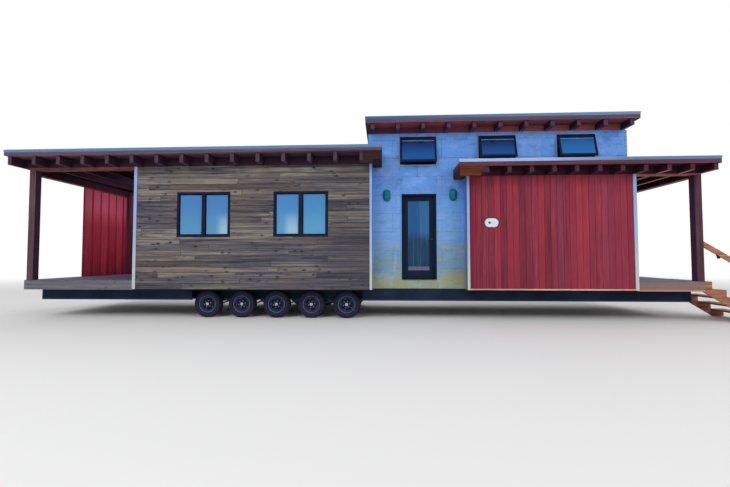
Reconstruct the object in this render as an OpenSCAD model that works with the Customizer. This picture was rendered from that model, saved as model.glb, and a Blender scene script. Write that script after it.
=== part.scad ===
// Tiny house on wheels: two timber volumes either side of a taller metal-clad middle,
// a covered porch at each end, stairs at the right end and five axles under the left half.
// Frame: X runs along the house, Y from the front wall (negative) to the back, Z up from the ground.
// The origin is on the ground at the middle of the whole part's bounding box.

/* [Lengths] */
// Outer post face to the end wall, left porch
porch_left = 2750; // [2000:5:3500]
// Left timber volume, length
left_len = 5865; // [5000:5:7000]
// Metal middle between the timber volumes
mid_len = 2255; // [2000:5:3000]
// Right red volume, length
right_len = 3865; // [3500:5:5000]
// End wall to the outer post face, right porch
porch_right = 1480; // [1000:5:2200]
// Front wall to back wall
body_w = 3660; // [3200:10:4200]
// Metal walls stand this far behind the timber walls
recess = 400; // [250:5:600]

/* [Levels] */
// Underside of the steel frame
frame_z = 440; // [400:5:600]
// Depth of the steel frame
frame_h = 285; // [200:5:350]
// Height of the floor edge above the steel frame
floor_h = 240; // [200:5:300]
// Porch boards lie this far below the floor inside
deck_step = 10; // [0:1:40]
// Top of the left walls
left_top = 3765; // [3500:5:4000]
// Top of the right walls
right_top = 3445; // [3200:5:3550]
// Top of the middle walls
mid_top = 4625; // [4500:5:4900]

/* [Walls] */
// Full thickness of an outer wall
wall_t = 140; // [110:5:180]
// Cladding that hangs over the edge of the floor
clad_t = 25; // [15:1:40]
// Cladding stops this far above the steel frame
clad_gap = 20; // [5:1:50]
// Width of the pale corner strips
trim_w = 75; // [50:1:120]
// Thickness of the corner strips
trim_t = 20; // [10:1:30]
// Upper walls past the ends of the metal middle and the red volume
mid_ext = 95; // [20:1:120]

/* [Roofs] */
// Rafter width
rafter_w = 90; // [45:1:120]
// Rafter depth, left roof
left_rafter_h = 215; // [140:1:240]
// Rafter depth, right roof
right_rafter_h = 162; // [120:1:200]
// Rafter depth, upper roof
mid_rafter_h = 153; // [120:1:200]
// Rafter spacing, left and upper roofs
rafter_gap = 609.6; // [500:0.1:700]
// Rafter spacing, right roof
right_rafter_gap = 498; // [400:0.1:600]
// Roof edge in front of the walls
eave = 420; // [300:5:600]
// Rafter tails stop this far inside the roof edge
tail_in = 40; // [20:5:100]
// Left roof past the outer post face
end_over_left = 256; // [160:1:500]
// Right roof past the outer post face
end_over_right = 101; // [70:1:400]
// Left and right roofs in front of the metal wall
ear_over = 243; // [100:1:400]
// Upper roof past the ends of its walls
mid_over = 57; // [30:1:300]
// Depth of the boards on the rafters, seen at the roof edges
fascia_h = 95; // [40:1:120]
// Metal edge above the boards
edge_h = 45; // [30:1:100]
// Metal edge hanging over the boards
edge_drip = 5; // [5:1:30]

/* [Porches] */
// Square post
post_w = 160; // [120:1:200]
// Long beam of the left porch below the rafters
drop_left = 60; // [40:1:150]
// End beam of the left porch below the rafters
drop_end = 165; // [60:1:220]
// Long beam of the right porch below the rafters
drop_right = 28; // [20:1:150]
// End beam of the right porch below the rafters
drop_right_end = 74; // [30:1:200]
// Porch floor past the left posts
lip_left = 55; // [0:1:100]
// Porch floor past the right posts
lip_right = 5; // [0:1:60]
// Thickness of the porch boards
board_t = 38; // [25:1:50]
// Near edge of the end screen, behind the middle of the house
screen_y = -180; // [-500:5:500]

/* [Stairs] */
// Treads below the porch floor
steps = 4; // [3:1:5]
// Run of a stair
run = 312; // [260:1:350]
// Flat at the head of the stairs
top_flat = 150; // [100:5:300]
// Outer faces of the outer stringers
stair_w = 1220; // [900:10:1600]
// Stringer and tread thickness
plank_t = 38; // [30:1:50]
// Wood left under the notches, measured upright
stringer_d = 125; // [120:5:240]
// Top of the rail above the porch floor, at the post
rail_h = 955; // [850:5:1100]
// Depth of the rail, measured upright
rail_v = 135; // [90:1:150]

/* [Wheels] */
// Axles under the left half
axles = 5; // [3:1:5]
// Axle spacing
axle_gap = 886; // [760:1:950]
// First axle from the left end wall
first_axle = 1675; // [1200:1:2200]
// Tyre radius
tyre_r = 340; // [320:1:360]
// Tyre width
tyre_w = 205; // [170:1:230]
// Rim radius
rim_r = 215; // [200:1:230]

/* [Openings] */
// Outside width of the door frame
door_w = 865; // [750:5:1000]
// Height of the door opening above the floor
door_h = 2130; // [1950:5:2250]
// Door centre right of the middle of the metal wall
door_shift = 32; // [-100:1:100]
// Window width
win_w = 1310; // [1000:5:1500]
// Window height
win_h = 1080; // [800:5:1250]
// Window sill
win_z = 2027; // [1800:5:2200]
// Middle of the first window from the left end wall
win_at_1 = 1742; // [1200:1:2200]
// Middle of the second window from the left end wall
win_at_2 = 4144; // [3400:1:4600]
// Awning window width
aw_w = 905; // [700:5:1000]
// Awning window height in the wall over the door
aw_h_door = 710; // [500:5:750]
// Awning window height over the right roof
aw_h_right = 605; // [450:5:650]
// Head of the awning windows below the wall top
aw_drop = 92; // [60:1:150]
// Middle of the awning window over the door, left of the door's middle
aw_at_door = 15; // [-50:1:50]
// Middle of the second awning window from the red volume's left end
aw_at_2 = 833; // [600:1:1200]
// Middle of the third awning window from the red volume's left end
aw_at_3 = 2740; // [2200:1:3200]
// Angle of the open awning sashes
awning_deg = 14; // [0:1:35]
// Left wall light from the door's middle
light_left = 797; // [600:1:900]
// Right wall light from the door's middle
light_right = 844; // [600:1:900]

/* [Hidden] */
$fn = 48;
e = 1;

// Stations along the house, counted from the left end of the left roof
s_post_l = end_over_left;
s_a = s_post_l + porch_left;
s_b = s_a + left_len;
s_c = s_b + mid_len;
s_d = s_c + right_len;
s_post_r = s_d + porch_right;
s_deck_r = s_post_r + lip_right;
s_end = s_deck_r + top_flat + steps * run;
mid_x = s_end / 2;

// The same stations in the part's frame
x_roof_l = -mid_x;
x_post_l = s_post_l - mid_x;
x_a = s_a - mid_x;
x_b = s_b - mid_x;
x_c = s_c - mid_x;
x_d = s_d - mid_x;
x_post_r = s_post_r - mid_x;
x_deck_l = x_post_l - lip_left;
x_deck_r = s_deck_r - mid_x;
x_roof_r = x_post_r + end_over_right;
x_um_l = x_b - mid_ext;
x_um_r = x_d + mid_ext;
x_ear_l = x_b + ear_over;
x_ear_r = x_c - ear_over;

// Front faces of the timber and the metal walls, mirrored at the back
hw = body_w / 2;
hm = hw - recess;

// Levels
frame_top = frame_z + frame_h;
clad_z = frame_top + clad_gap;
floor_z = frame_top + floor_h;
deck_z = floor_z - deck_step;
rise = deck_z / (steps + 1);
left_boards_z = left_top + left_rafter_h;
right_boards_z = right_top + right_rafter_h;
upper_boards_z = mid_top + mid_rafter_h;

// Centres and levels of the door and the windows
door_x = (x_b + x_c) / 2 + door_shift;
door_x0 = door_x - door_w / 2;
door_x1 = door_x + door_w / 2;
door_top = floor_z + door_h;
win_x = [x_a + win_at_1, x_a + win_at_2];
aw_x = [door_x - aw_at_door, x_c + aw_at_2, x_c + aw_at_3];
aw_h = [aw_h_door, aw_h_right, aw_h_right];
aw_top = mid_top - aw_drop;

module box(x0, x1, y0, y1, z0, z1) {
  translate([x0, y0, z0]) cube([x1 - x0, y1 - y0, z1 - z0]);
}

// A piece and its mirror image at the back of the house
module both() {
  children();
  mirror([0, 1, 0]) children();
}

// A profile drawn in Y and Z, run from x0 to x1
module along_x(x0, x1) {
  translate([x0, 0, 0]) rotate([90, 0, 90]) linear_extrude(x1 - x0) children();
}

// An outline drawn in X and Z, from y towards the back
module along_y(y, t) {
  translate([0, y + t, 0]) rotate([90, 0, 0]) linear_extrude(t) children();
}

// Slot shape, upright if h is over w
module stadium(w, h) {
  r = min(w, h) / 2;
  square([w > h ? w - h : w, w > h ? h : h - w], center = true);
  for (s = [-1, 1]) translate([w > h ? s * (w - h) / 2 : 0, w > h ? 0 : s * (h - w) / 2]) circle(r = r);
}

// Steel frame: two I-section rails, channels outside them that stop at the wheel wells, channels across
flange_w = 100;
flange_t = 14;
web_t = 10;
side_w = 70;
cross_w = 60;
cross_drop = 60;
end_drop = 20;
wheel_gap = 25;
well_gap = 60;
rail_y = hm - tyre_w - wheel_gap;
well_0 = x_a + first_axle - tyre_r - well_gap;
well_1 = x_a + first_axle + (axles - 1) * axle_gap + tyre_r + well_gap;
frame_in = 50;
frame_x0 = x_post_l + frame_in;
frame_x1 = x_post_r;

module i_section(h) {
  for (z = [0, h - flange_t]) translate([-flange_w / 2, z]) square([flange_w, flange_t]);
  translate([-web_t / 2, 0]) square([web_t, h]);
}

// Channel with its web at 0 and its flanges towards w
module channel(w, h) {
  for (z = [0, h - flange_t]) translate([0, z]) square([w, flange_t]);
  square([web_t, h]);
}

module side_rail(x0, x1) {
  along_x(x0, x1) translate([-hm, frame_z]) channel(side_w, frame_h);
}

// Channel across the frame, opening along +X or, with dir = -1, along -X
module cross_member(x, dir, drop) {
  translate([x, -hm + web_t, frame_z + drop]) mirror([dir < 0 ? 1 : 0, 0, 0])
    along_y(0, 2 * (hm - web_t)) channel(cross_w, frame_h - drop);
}

bays_left = 2;
bays_well = 4;
bays_right = 5;
module frame() {
  color([0.10, 0.12, 0.18]) union() {
    both() {
      along_x(frame_x0, frame_x1) translate([-rail_y + flange_w / 2, frame_z]) i_section(frame_h);
      side_rail(frame_x0, well_0);
      side_rail(well_1, frame_x1);
    }
    cross_member(frame_x0, 1, end_drop);
    cross_member(frame_x1, -1, end_drop);
    for (i = [1 : bays_left]) cross_member(frame_x0 + i * (well_0 - frame_x0) / bays_left, -1, cross_drop);
    for (i = [0 : bays_right - 1]) cross_member(well_1 + i * (frame_x1 - well_1) / bays_right, 1, cross_drop);
    for (i = [1 : bays_well - 1]) well_member(well_0 + i * (well_1 - well_0) / bays_well);
  }
}

// Between the wheels the channels across reach only from rail to rail
module well_member(x) {
  translate([x, -rail_y + flange_w / 2, frame_z + cross_drop])
    along_y(0, 2 * rail_y - flange_w) channel(cross_w, frame_h - cross_drop);
}

// Axle tubes under the rails, with a spring seat on each side and a stub for each wheel
axle_r = 38;
stub_r = 22;
seat_l = 40;
spring_w = 45;
spring_y = rail_y - flange_w / 2;
spring_gap = 0.7;
spring_top = tyre_r - axle_r - 8;
module axle_beams() {
  color([0.13, 0.14, 0.18]) for (i = [0 : axles - 1])
    translate([x_a + first_axle + i * axle_gap, 0, 0]) {
      translate([0, 0, tyre_r]) rotate([90, 0, 0]) {
        cylinder(r = axle_r, h = 2 * rail_y, center = true);
        cylinder(r = stub_r, h = 2 * (hm - tyre_w / 2), center = true);
      }
      both() box(-seat_l / 2, seat_l / 2, spring_y - spring_w / 2, spring_y + spring_w / 2,
                 spring_top + spring_gap, tyre_r);
    }
}

// Leaf springs slung under the axles. Rockers between the axles and brackets at both ends carry them.
leaf_t = 9;
leaf_a = [20, 15, 10];
eye_r = 17;
spring_r = 0.36 * axle_gap / sin(leaf_a[0]);
eye_x = (spring_r + leaf_t / 2) * sin(leaf_a[0]);
eye_z = spring_top + spring_r - (spring_r + leaf_t / 2) * cos(leaf_a[0]);
plate_t = 12;
module leaf_pack() {
  for (k = [0 : len(leaf_a) - 1]) translate([0, spring_top + spring_r]) intersection() {
    difference() {
      circle(r = spring_r + (k + 1) * leaf_t, $fn = 240);
      circle(r = spring_r + k * leaf_t - 0.2, $fn = 240);
    }
    polygon([[0, 0], [-2 * spring_r * sin(leaf_a[k]), -2 * spring_r * cos(leaf_a[k])],
             [2 * spring_r * sin(leaf_a[k]), -2 * spring_r * cos(leaf_a[k])]]);
  }
  for (s = [-1, 1]) translate([s * eye_x, eye_z]) circle(r = eye_r);
}

// Hanger plate from the rail down to an eye or a rocker pin
module hanger(z) {
  polygon([[-70, frame_z], [-22, z - 22], [22, z - 22], [70, frame_z]]);
}

rocker_x = axle_gap / 2;
rocker_z = frame_z - 34;
module rocker() {
  polygon([[-(rocker_x - eye_x) - 18, eye_z - 18], [-(rocker_x - eye_x) - 18, eye_z + 12], [0, rocker_z + 22],
           [rocker_x - eye_x + 18, eye_z + 12], [rocker_x - eye_x + 18, eye_z - 18], [0, rocker_z - 34]]);
}

module springs() {
  y0 = -spring_y - spring_w / 2;
  color([0.09, 0.09, 0.11]) both() union() {
    for (i = [0 : axles - 1]) translate([x_a + first_axle + i * axle_gap, 0, 0]) {
      along_y(y0, spring_w) leaf_pack();
      if (i < axles - 1) translate([rocker_x, 0, 0]) {
        along_y(y0 - plate_t + e, plate_t) rocker();
        along_y(y0, plate_t) hanger(rocker_z);
      }
    }
    for (x = [x_a + first_axle - eye_x, x_a + first_axle + (axles - 1) * axle_gap + eye_x])
      translate([x, 0, 0]) along_y(y0 - plate_t + e, plate_t) hanger(eye_z);
  }
}

// Floor platform on the frame, set in behind the cladding
module floor_plate() {
  c = clad_t;
  color([0.55, 0.42, 0.28]) union() {
    box(x_a, x_b - c, -hw + c, hw - c, frame_top, floor_z);
    box(x_b - c - e, x_c + c + e, -hm + c, hm - c, frame_top, floor_z);
    box(x_c + c, x_d, -hw + c, hw - c, frame_top, floor_z);
  }
}

// Long wall with its cladding hanging over the floor edge, outer face at y
module long_wall(x0, x1, y, top) {
  box(x0, x1, y, y + wall_t, floor_z, top);
  box(x0, x1, y, y + clad_t, clad_z, floor_z + e);
}

module win_hole(x) {
  box(x - win_w / 2, x + win_w / 2, -hw - wall_t, -hw + 2 * wall_t, win_z, win_z + win_h);
}

module left_front_wall() {
  color([0.45, 0.41, 0.38]) difference() {
    long_wall(x_a, x_b, -hw, left_top);
    for (x = win_x) win_hole(x);
  }
}

module left_back_wall() {
  mirror([0, 1, 0]) left_front_wall();
}

// End wall with the opening of its door
end_door_w = 900;
module end_wall(x, top) {
  difference() {
    box(x, x + wall_t, -hw + wall_t, hw - wall_t, floor_z, top);
    box(x - wall_t, x + 2 * wall_t, -end_door_w / 2, end_door_w / 2, floor_z - e, door_top);
  }
}

module left_end_wall() {
  color([0.45, 0.41, 0.38]) end_wall(x_a, left_top);
}

// Short walls from the timber fronts back to the metal wall, cladding on the side of dir
module return_wall(x, top, dir) {
  box(x, x + wall_t, -hw + wall_t, -hm + wall_t, floor_z, top);
  cx = dir > 0 ? x + wall_t - clad_t : x;
  box(cx, cx + clad_t, -hw + clad_t, -hm, clad_z, floor_z);
}

module left_return_walls() {
  color([0.45, 0.41, 0.38]) both() return_wall(x_b - wall_t, left_top, 1);
}

// Metal wall, split beside and over the doorway
module front_wall_left_of_door() {
  color([0.66, 0.68, 0.66]) difference() {
    long_wall(x_b, door_x0, -hm, mid_top);
    awning_hole(0);
  }
}

module front_wall_right_of_door() {
  color([0.66, 0.68, 0.66]) difference() {
    long_wall(door_x1, x_c, -hm, mid_top);
    awning_hole(0);
  }
}

// Hole of an awning window
module awning_hole(i) {
  box(aw_x[i] - aw_w / 2, aw_x[i] + aw_w / 2, -hm - wall_t, -hm + 2 * wall_t, aw_top - aw_h[i], aw_top);
}

module front_wall_over_door() {
  color([0.66, 0.68, 0.66]) difference() {
    union() {
      box(door_x0, door_x1, -hm, -hm + wall_t, door_top, mid_top);
      box(door_x0, door_x1, -hm, -hm + clad_t, clad_z, floor_z);
    }
    awning_hole(0);
  }
}

module mid_back_wall() {
  color([0.66, 0.68, 0.66]) mirror([0, 1, 0]) difference() {
    long_wall(x_b, x_c, -hm, mid_top);
    awning_hole(0);
  }
}

// Red volume, with the hole of its hatch in the front
hatch_x = x_c + 566;
hatch_z = 2326;
hatch_w = 330;
hatch_h = 226;
hatch_rim = 30;
hatch_fit = 0.3;
module right_front_wall() {
  color([0.45, 0.12, 0.14]) difference() {
    long_wall(x_c, x_d, -hw, right_top);
    translate([hatch_x, 0, hatch_z]) along_y(-hw - wall_t, 3 * wall_t)
      stadium(hatch_w - 2 * hatch_rim, hatch_h - 2 * hatch_rim);
  }
}

module right_back_wall() {
  color([0.45, 0.12, 0.14]) mirror([0, 1, 0]) long_wall(x_c, x_d, -hw, right_top);
}

module right_end_wall() {
  color([0.45, 0.12, 0.14]) end_wall(x_d - wall_t, right_top);
}

module right_return_walls() {
  color([0.45, 0.12, 0.14]) both() return_wall(x_c, right_top, -1);
}

// Metal walls above the red volume and at both ends of the upper part
module upper_side_walls() {
  color([0.66, 0.68, 0.66]) both() difference() {
    box(x_c, x_um_r, -hm, -hm + wall_t, right_top, mid_top);
    awning_hole(1);
    awning_hole(2);
  }
}

module upper_end_walls() {
  color([0.66, 0.68, 0.66]) {
    box(x_um_l, x_b, -hm, hm, left_top, mid_top);
    box(x_b - e, x_um_l + wall_t, -hm + wall_t, hm - wall_t, left_top, mid_top);
    box(x_um_r - wall_t, x_um_r, -hm + wall_t, hm - wall_t, right_top, mid_top);
  }
}

// Pale strips folded round the outer corners
module corner_strip(x, top, dir) {
  translate([x, -hw, clad_z]) mirror([dir < 0 ? 1 : 0, 0, 0]) linear_extrude(deck_z - clad_z + e)
    translate([-trim_t, -trim_t]) square([trim_w, trim_t]);
  translate([x, -hw, deck_z]) mirror([dir < 0 ? 1 : 0, 0, 0]) linear_extrude(top - deck_z)
    polygon([[-trim_t, -trim_t], [trim_w - trim_t, -trim_t], [trim_w - trim_t, 0], [0, 0],
             [0, trim_w - trim_t], [-trim_t, trim_w - trim_t]]);
}

module corner_strips() {
  color([0.75, 0.75, 0.72]) both() {
    corner_strip(x_a, left_top, 1);
    corner_strip(x_b, left_top, -1);
    corner_strip(x_c, right_top, 1);
    corner_strip(x_d, right_top, -1);
  }
}

// Light board along the foot of the red wall
strip_h = 32;
module bottom_strips() {
  inset = trim_w - trim_t;
  color([0.78, 0.62, 0.48]) both()
    box(x_c + inset, x_d - inset, -hw - trim_t, -hw, clad_z, clad_z + strip_h);
}

// Rafters across the whole roof, or short ones that stop at the metal walls
module rafter(x, h, z) {
  box(x - rafter_w / 2, x + rafter_w / 2, -hw - eave + tail_in, hw + eave - tail_in, z, z + h);
}

module short_rafters(x, h, z) {
  both() box(x - rafter_w / 2, x + rafter_w / 2, -hw - eave + tail_in, -hm, z, z + h);
}

// Blocks that close the bay between two rafters above a wall whose front face is at -y
block_t = 45;
block_gap = 0.3;
module block(x0, x1, y, z, h) {
  w = rafter_w / 2 + block_gap;
  both() box(x0 + w, x1 - w, -y, -y + block_t, z, z + h);
}

// Board that closes the front of an arm beside the upper walls, ahead of the rafter ends
ear_t = 25;
module ear_board(x0, x1, z, h) {
  y1 = -hw - eave + tail_in - block_gap;
  both() box(x0, x1, y1 - ear_t, y1, z, z + h);
}

// Board that closes such an arm from below, between its last rafters
ear_floor_t = 18;
module ear_floor(x0, x1, z) {
  both() box(x0 + block_gap, x1 - block_gap, -hw - eave + tail_in, -hm, z, z + ear_floor_t);
}

first_in_left = 107;
left_first = x_roof_l + first_in_left;
left_n = floor((x_b - left_first) / rafter_gap);
module left_rafters() {
  color([0.25, 0.12, 0.12]) {
    for (i = [0 : left_n]) {
      x = left_first + i * rafter_gap;
      if (x < x_um_l - rafter_w / 2) rafter(x, left_rafter_h, left_top);
      else short_rafters(x, left_rafter_h, left_top);
      if (i < left_n) block(x, x + rafter_gap, hw, left_top, left_rafter_h);
    }
    last = left_first + left_n * rafter_gap + rafter_w / 2;
    short_rafters(x_ear_l - rafter_w / 2, left_rafter_h, left_top);
    ear_board(last, x_ear_l, left_top, left_rafter_h);
    ear_floor(last, x_ear_l - rafter_w, left_top);
  }
}

first_in_right = 84;
right_first = x_roof_r - first_in_right;
right_n = floor((right_first - x_c) / right_rafter_gap);
module right_rafters() {
  color([0.25, 0.12, 0.12]) {
    for (i = [0 : right_n]) {
      x = right_first - i * right_rafter_gap;
      if (x > x_um_r + rafter_w / 2) rafter(x, right_rafter_h, right_top);
      else short_rafters(x, right_rafter_h, right_top);
      if (i < right_n) block(x - right_rafter_gap, x, hw, right_top, right_rafter_h);
    }
    last = right_first - right_n * right_rafter_gap - rafter_w / 2;
    short_rafters(x_ear_r + rafter_w / 2, right_rafter_h, right_top);
    ear_board(x_ear_r, last, right_top, right_rafter_h);
    ear_floor(x_ear_r + rafter_w, last, right_top);
  }
}

upper_in = 21;
upper_first = x_b + upper_in;
upper_n = floor((x_um_r - upper_first) / rafter_gap);
module upper_rafters() {
  y0 = -hm - eave + tail_in;
  color([0.25, 0.12, 0.12]) for (i = [0 : upper_n]) {
    x = upper_first + i * rafter_gap;
    box(x - rafter_w / 2, x + rafter_w / 2, y0, -y0, mid_top, upper_boards_z);
    if (i < upper_n) block(x, x + rafter_gap, hm, mid_top, mid_rafter_h);
  }
}

// Roof outlines; the left and right ones are cut around the upper walls
module side_outline(x0, x1, grow) {
  difference() {
    translate([x0 - grow, -hw - eave - grow]) square([x1 - x0 + 2 * grow, 2 * (hw + eave + grow)]);
    translate([x_um_l, -hm]) square([x_um_r - x_um_l, 2 * hm]);
  }
}

// Seams where the arms beside the upper walls meet the rest of a roof
seam_t = 0.4;
module seams() {
  both() for (x = [x_um_l, x_um_r])
    box(x - seam_t / 2, x + seam_t / 2, hm - e, hw + 2 * eave, right_top, upper_boards_z);
}

module upper_outline(grow) {
  w = x_um_r - x_um_l + 2 * (mid_over + grow);
  translate([x_um_l - mid_over - grow, -hm - eave - grow]) square([w, 2 * (hm + eave + grow)]);
}

module roof_boards() {
  color([0.32, 0.16, 0.14]) {
    difference() {
      union() {
        translate([0, 0, left_boards_z]) linear_extrude(fascia_h) side_outline(x_roof_l, x_ear_l, 0);
        translate([0, 0, right_boards_z]) linear_extrude(fascia_h) side_outline(x_ear_r, x_roof_r, 0);
      }
      seams();
    }
    translate([0, 0, upper_boards_z]) linear_extrude(fascia_h) upper_outline(0);
  }
}

// Metal sheet with a folded edge that hangs over the boards and stands a little above the sheet
edge_out = 8;
edge_in = 40;
edge_up = 12;
module edge_ring(z) {
  translate([0, 0, z - edge_drip]) linear_extrude(edge_drip) difference() {
    children(0);
    children(1);
  }
  translate([0, 0, z]) linear_extrude(edge_h) difference() {
    children(0);
    children(2);
  }
  translate([0, 0, z]) linear_extrude(edge_h - edge_up) children(1);
}

module side_sheet(x0, x1, z) {
  edge_ring(z) {
    side_outline(x0, x1, edge_out);
    side_outline(x0, x1, 0);
    translate([x0 + edge_in, -hw - eave + edge_in])
      square([x1 - x0 - 2 * edge_in, 2 * (hw + eave - edge_in)]);
  }
}

module roof_sheets() {
  color([0.45, 0.52, 0.60]) {
    difference() {
      union() {
        side_sheet(x_roof_l, x_ear_l, left_boards_z + fascia_h);
        side_sheet(x_ear_r, x_roof_r, right_boards_z + fascia_h);
      }
      seams();
    }
    edge_ring(upper_boards_z + fascia_h) {
      upper_outline(edge_out);
      upper_outline(0);
      upper_outline(-edge_in);
    }
  }
}

// Beams under the rafters of the porches
module porch_beams() {
  color([0.28, 0.13, 0.12]) {
    both() box(x_post_l, x_a - trim_t, -hw, -hw + post_w, left_top - drop_left, left_top);
    box(x_post_l, x_post_l + post_w, -hw + post_w, hw - post_w, left_top - drop_end, left_top);
    both() box(x_d + trim_t, x_post_r, -hw, -hw + post_w, right_top - drop_right, right_top);
    box(x_post_r - post_w, x_post_r, -hw + post_w, hw - post_w, right_top - drop_right_end, right_top);
  }
}

module posts() {
  color([0.27, 0.15, 0.15]) both() {
    box(x_post_l, x_post_l + post_w, -hw, -hw + post_w, deck_z, left_top - drop_left);
    box(x_post_r - post_w, x_post_r, -hw, -hw + post_w, deck_z, right_top - drop_right);
  }
}

// Porch floor: boards on joists inside a rim
joist_t = 38;
joist_gap = 480;
module porch_floor(x0, x1) {
  joist_z = deck_z - board_t;
  box(x0, x1, -hw, hw, joist_z, deck_z);
  difference() {
    box(x0, x1, -hw, hw, frame_top, joist_z + e);
    box(x0 + joist_t, x1 - joist_t, -hw + joist_t, hw - joist_t, frame_top - e, joist_z);
  }
  for (x = [x0 + joist_gap : joist_gap : x1 - joist_gap / 2])
    box(x, x + joist_t, -hw + joist_t - e, hw - joist_t + e, frame_top, joist_z + e);
}

module porch_floors() {
  color([0.45, 0.43, 0.42]) {
    porch_floor(x_deck_l, x_a);
    porch_floor(x_d, x_deck_r);
  }
}

// Boarded screens: far half of the left end and the back of the left porch
screen_t = 38;
screen_in = 50;
module privacy_screen() {
  color([0.50, 0.12, 0.16]) {
    x0 = x_post_l + screen_in;
    box(x0, x0 + screen_t, screen_y, hw - post_w, deck_z, left_top - drop_end);
    y1 = hw - screen_in;
    box(x_post_l + post_w, x_a - trim_t, y1 - screen_t, y1, deck_z, left_top - drop_left);
  }
}

// Stairs at the right end: two cut stringers with the treads on them
stair_y = -hw;
stair_x = x_deck_r + top_flat;
pitch = rise / run;
module stringer_outline(tuck) {
  top = deck_z - plank_t;
  low_end = top - rise - stringer_d + (stair_x - x_deck_r) * pitch;
  polygon([
    [x_deck_r, top],
    [stair_x, top],
    for (i = [1 : steps]) each [
      [stair_x + (i - 1) * run, top - i * rise],
      [stair_x + i * run, top - i * rise]],
    [stair_x + steps * run, 0],
    [stair_x + (top - rise - stringer_d) / pitch, 0],
    [x_deck_r, low_end],
    if (tuck) [x_deck_r - (frame_top - low_end) / pitch, frame_top],
    if (tuck) [x_deck_r, frame_top]
  ]);
}

module stringers() {
  color([0.60, 0.34, 0.20]) {
    along_y(stair_y, plank_t) stringer_outline(true);
    along_y(stair_y + stair_w - plank_t, plank_t) stringer_outline(false);
  }
}

module treads() {
  color([0.66, 0.42, 0.26]) {
    box(x_deck_r, stair_x, stair_y, stair_y + stair_w, deck_z - plank_t, deck_z);
    for (i = [1 : steps]) {
      z = deck_z - i * rise;
      box(stair_x + (i - 1) * run, stair_x + i * run, stair_y, stair_y + stair_w, z - plank_t, z);
    }
  }
}

// Rail from the post down to a newel on the bottom tread, with the newel's top cut to the slope
newel_w = 90;
rail_y0 = stair_y + 60;
module handrail() {
  z0 = deck_z + rail_h;
  x1 = stair_x + steps * run - 25;
  z1 = z0 - pitch * (x1 - x_post_r);
  foot = deck_z - steps * rise;
  color([0.62, 0.36, 0.20]) union() {
    along_y(rail_y0 - (newel_w - plank_t) / 2, newel_w)
      polygon([[x1 - newel_w, foot], [x1, foot], [x1, z1 + 60], [x1 - newel_w, z1 + 60 + pitch * newel_w]]);
    along_y(rail_y0, plank_t)
      polygon([[x_post_r, z0 - rail_v], [x1 - 10, z1 + pitch * 10 - rail_v],
               [x1 - 10, z1 + pitch * 10], [x_post_r, z0]]);
  }
}

// Small steel bracket under the rail
bracket_x = 375;
bracket_gap = 0.1;
module rail_bracket() {
  z = deck_z + rail_h - rail_v - pitch * bracket_x - bracket_gap;
  color([0.12, 0.12, 0.13]) translate([x_post_r + bracket_x, 0, z])
    along_y(rail_y0, plank_t) polygon([[-35, pitch * 35], [35, -pitch * 35], [30, -70], [-5, -70]]);
}

// Front door: frame fixed in the wall, leaf flush with the inside and hung at its left edge
jamb = 38;
leaf_thick = 45;
clear = 5;
sill_h = 18;
sill_in = 30;
nose = 22;
nose_t = 8;
frame_out = 10;
leaf_w = door_w - 2 * (jamb + clear);
leaf_x0 = door_x0 + jamb + clear;
leaf_z0 = floor_z + sill_h + clear;
leaf_z1 = door_top - jamb - clear;
door_in = -hm + wall_t;
door_y = door_in - leaf_thick;
stop_t = 14;
stop_w = 12;
module door_frame() {
  color([0.16, 0.15, 0.17]) union() {
    difference() {
      box(door_x0, door_x1, -hm - frame_out, door_in, floor_z, door_top);
      box(door_x0 + jamb, door_x1 - jamb, -hm - 2 * frame_out, door_in + e,
          floor_z + sill_h, door_top - jamb);
    }
    difference() {
      box(door_x0 + jamb - e, door_x1 - jamb + e, door_y - clear - stop_w, door_y - clear,
          floor_z + sill_h - e, door_top - jamb + e);
      box(door_x0 + jamb + stop_t, door_x1 - jamb - stop_t, -hm, door_y,
          floor_z + sill_h + stop_t, door_top - jamb - stop_t);
    }
    translate([0, 0, floor_z]) along_x(door_x0 + jamb - e, door_x1 - jamb + e)
      polygon([[-hm - frame_out, 0], [-hm - frame_out - nose, 0], [-hm - frame_out - nose, nose_t],
               [-hm + sill_in, sill_h + e], [-hm + sill_in, 0]]);
  }
}

// Hinges: pins and their knuckles on the frame, middle knuckles on the leaf
pin_r = 4;
knuckle_r = 7;
knuckle_h = 33;
hinge_out = 8;
hinge_end = 220;
hinge_x = leaf_x0 - clear / 2;
hinge_y = door_in + hinge_out;
hinge_z = [leaf_z0 + hinge_end, (leaf_z0 + leaf_z1) / 2, leaf_z1 - hinge_end];
hinge_leaf = 34;
hinge_t = 4;
module door_hinges() {
  pin_l = 3 * knuckle_h + 1;
  color([0.55, 0.53, 0.50]) for (z = hinge_z) union() {
    translate([hinge_x, hinge_y, z - pin_l / 2]) cylinder(r = pin_r, h = pin_l);
    for (s = [-1, 1]) {
      z0 = z + s * (pin_l - knuckle_h) / 2 - knuckle_h / 2;
      translate([hinge_x, hinge_y, z0]) cylinder(r = knuckle_r, h = knuckle_h);
      box(hinge_x - hinge_leaf, hinge_x, door_in, door_in + hinge_t, z0, z0 + knuckle_h);
      box(hinge_x - hinge_t - 2, hinge_x, door_in, hinge_y, z0, z0 + knuckle_h);
    }
  }
}

stile = 126;
rail_low = 202;
rail_up = 125;
bead = 14;
module leaf_knuckle(z) {
  k = knuckle_h / 2 - 0.3;
  difference() {
    union() {
      translate([hinge_x, hinge_y, z - k]) cylinder(r = knuckle_r, h = 2 * k);
      box(hinge_x + 3, hinge_x + hinge_leaf, door_in, door_in + hinge_t, z - k, z + k);
      box(hinge_x + 3, hinge_x + 6, door_in - e, hinge_y, z - k, z + k);
    }
    translate([hinge_x, hinge_y, z - knuckle_h]) cylinder(r = pin_r + 0.05, h = 2 * knuckle_h);
  }
}

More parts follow.
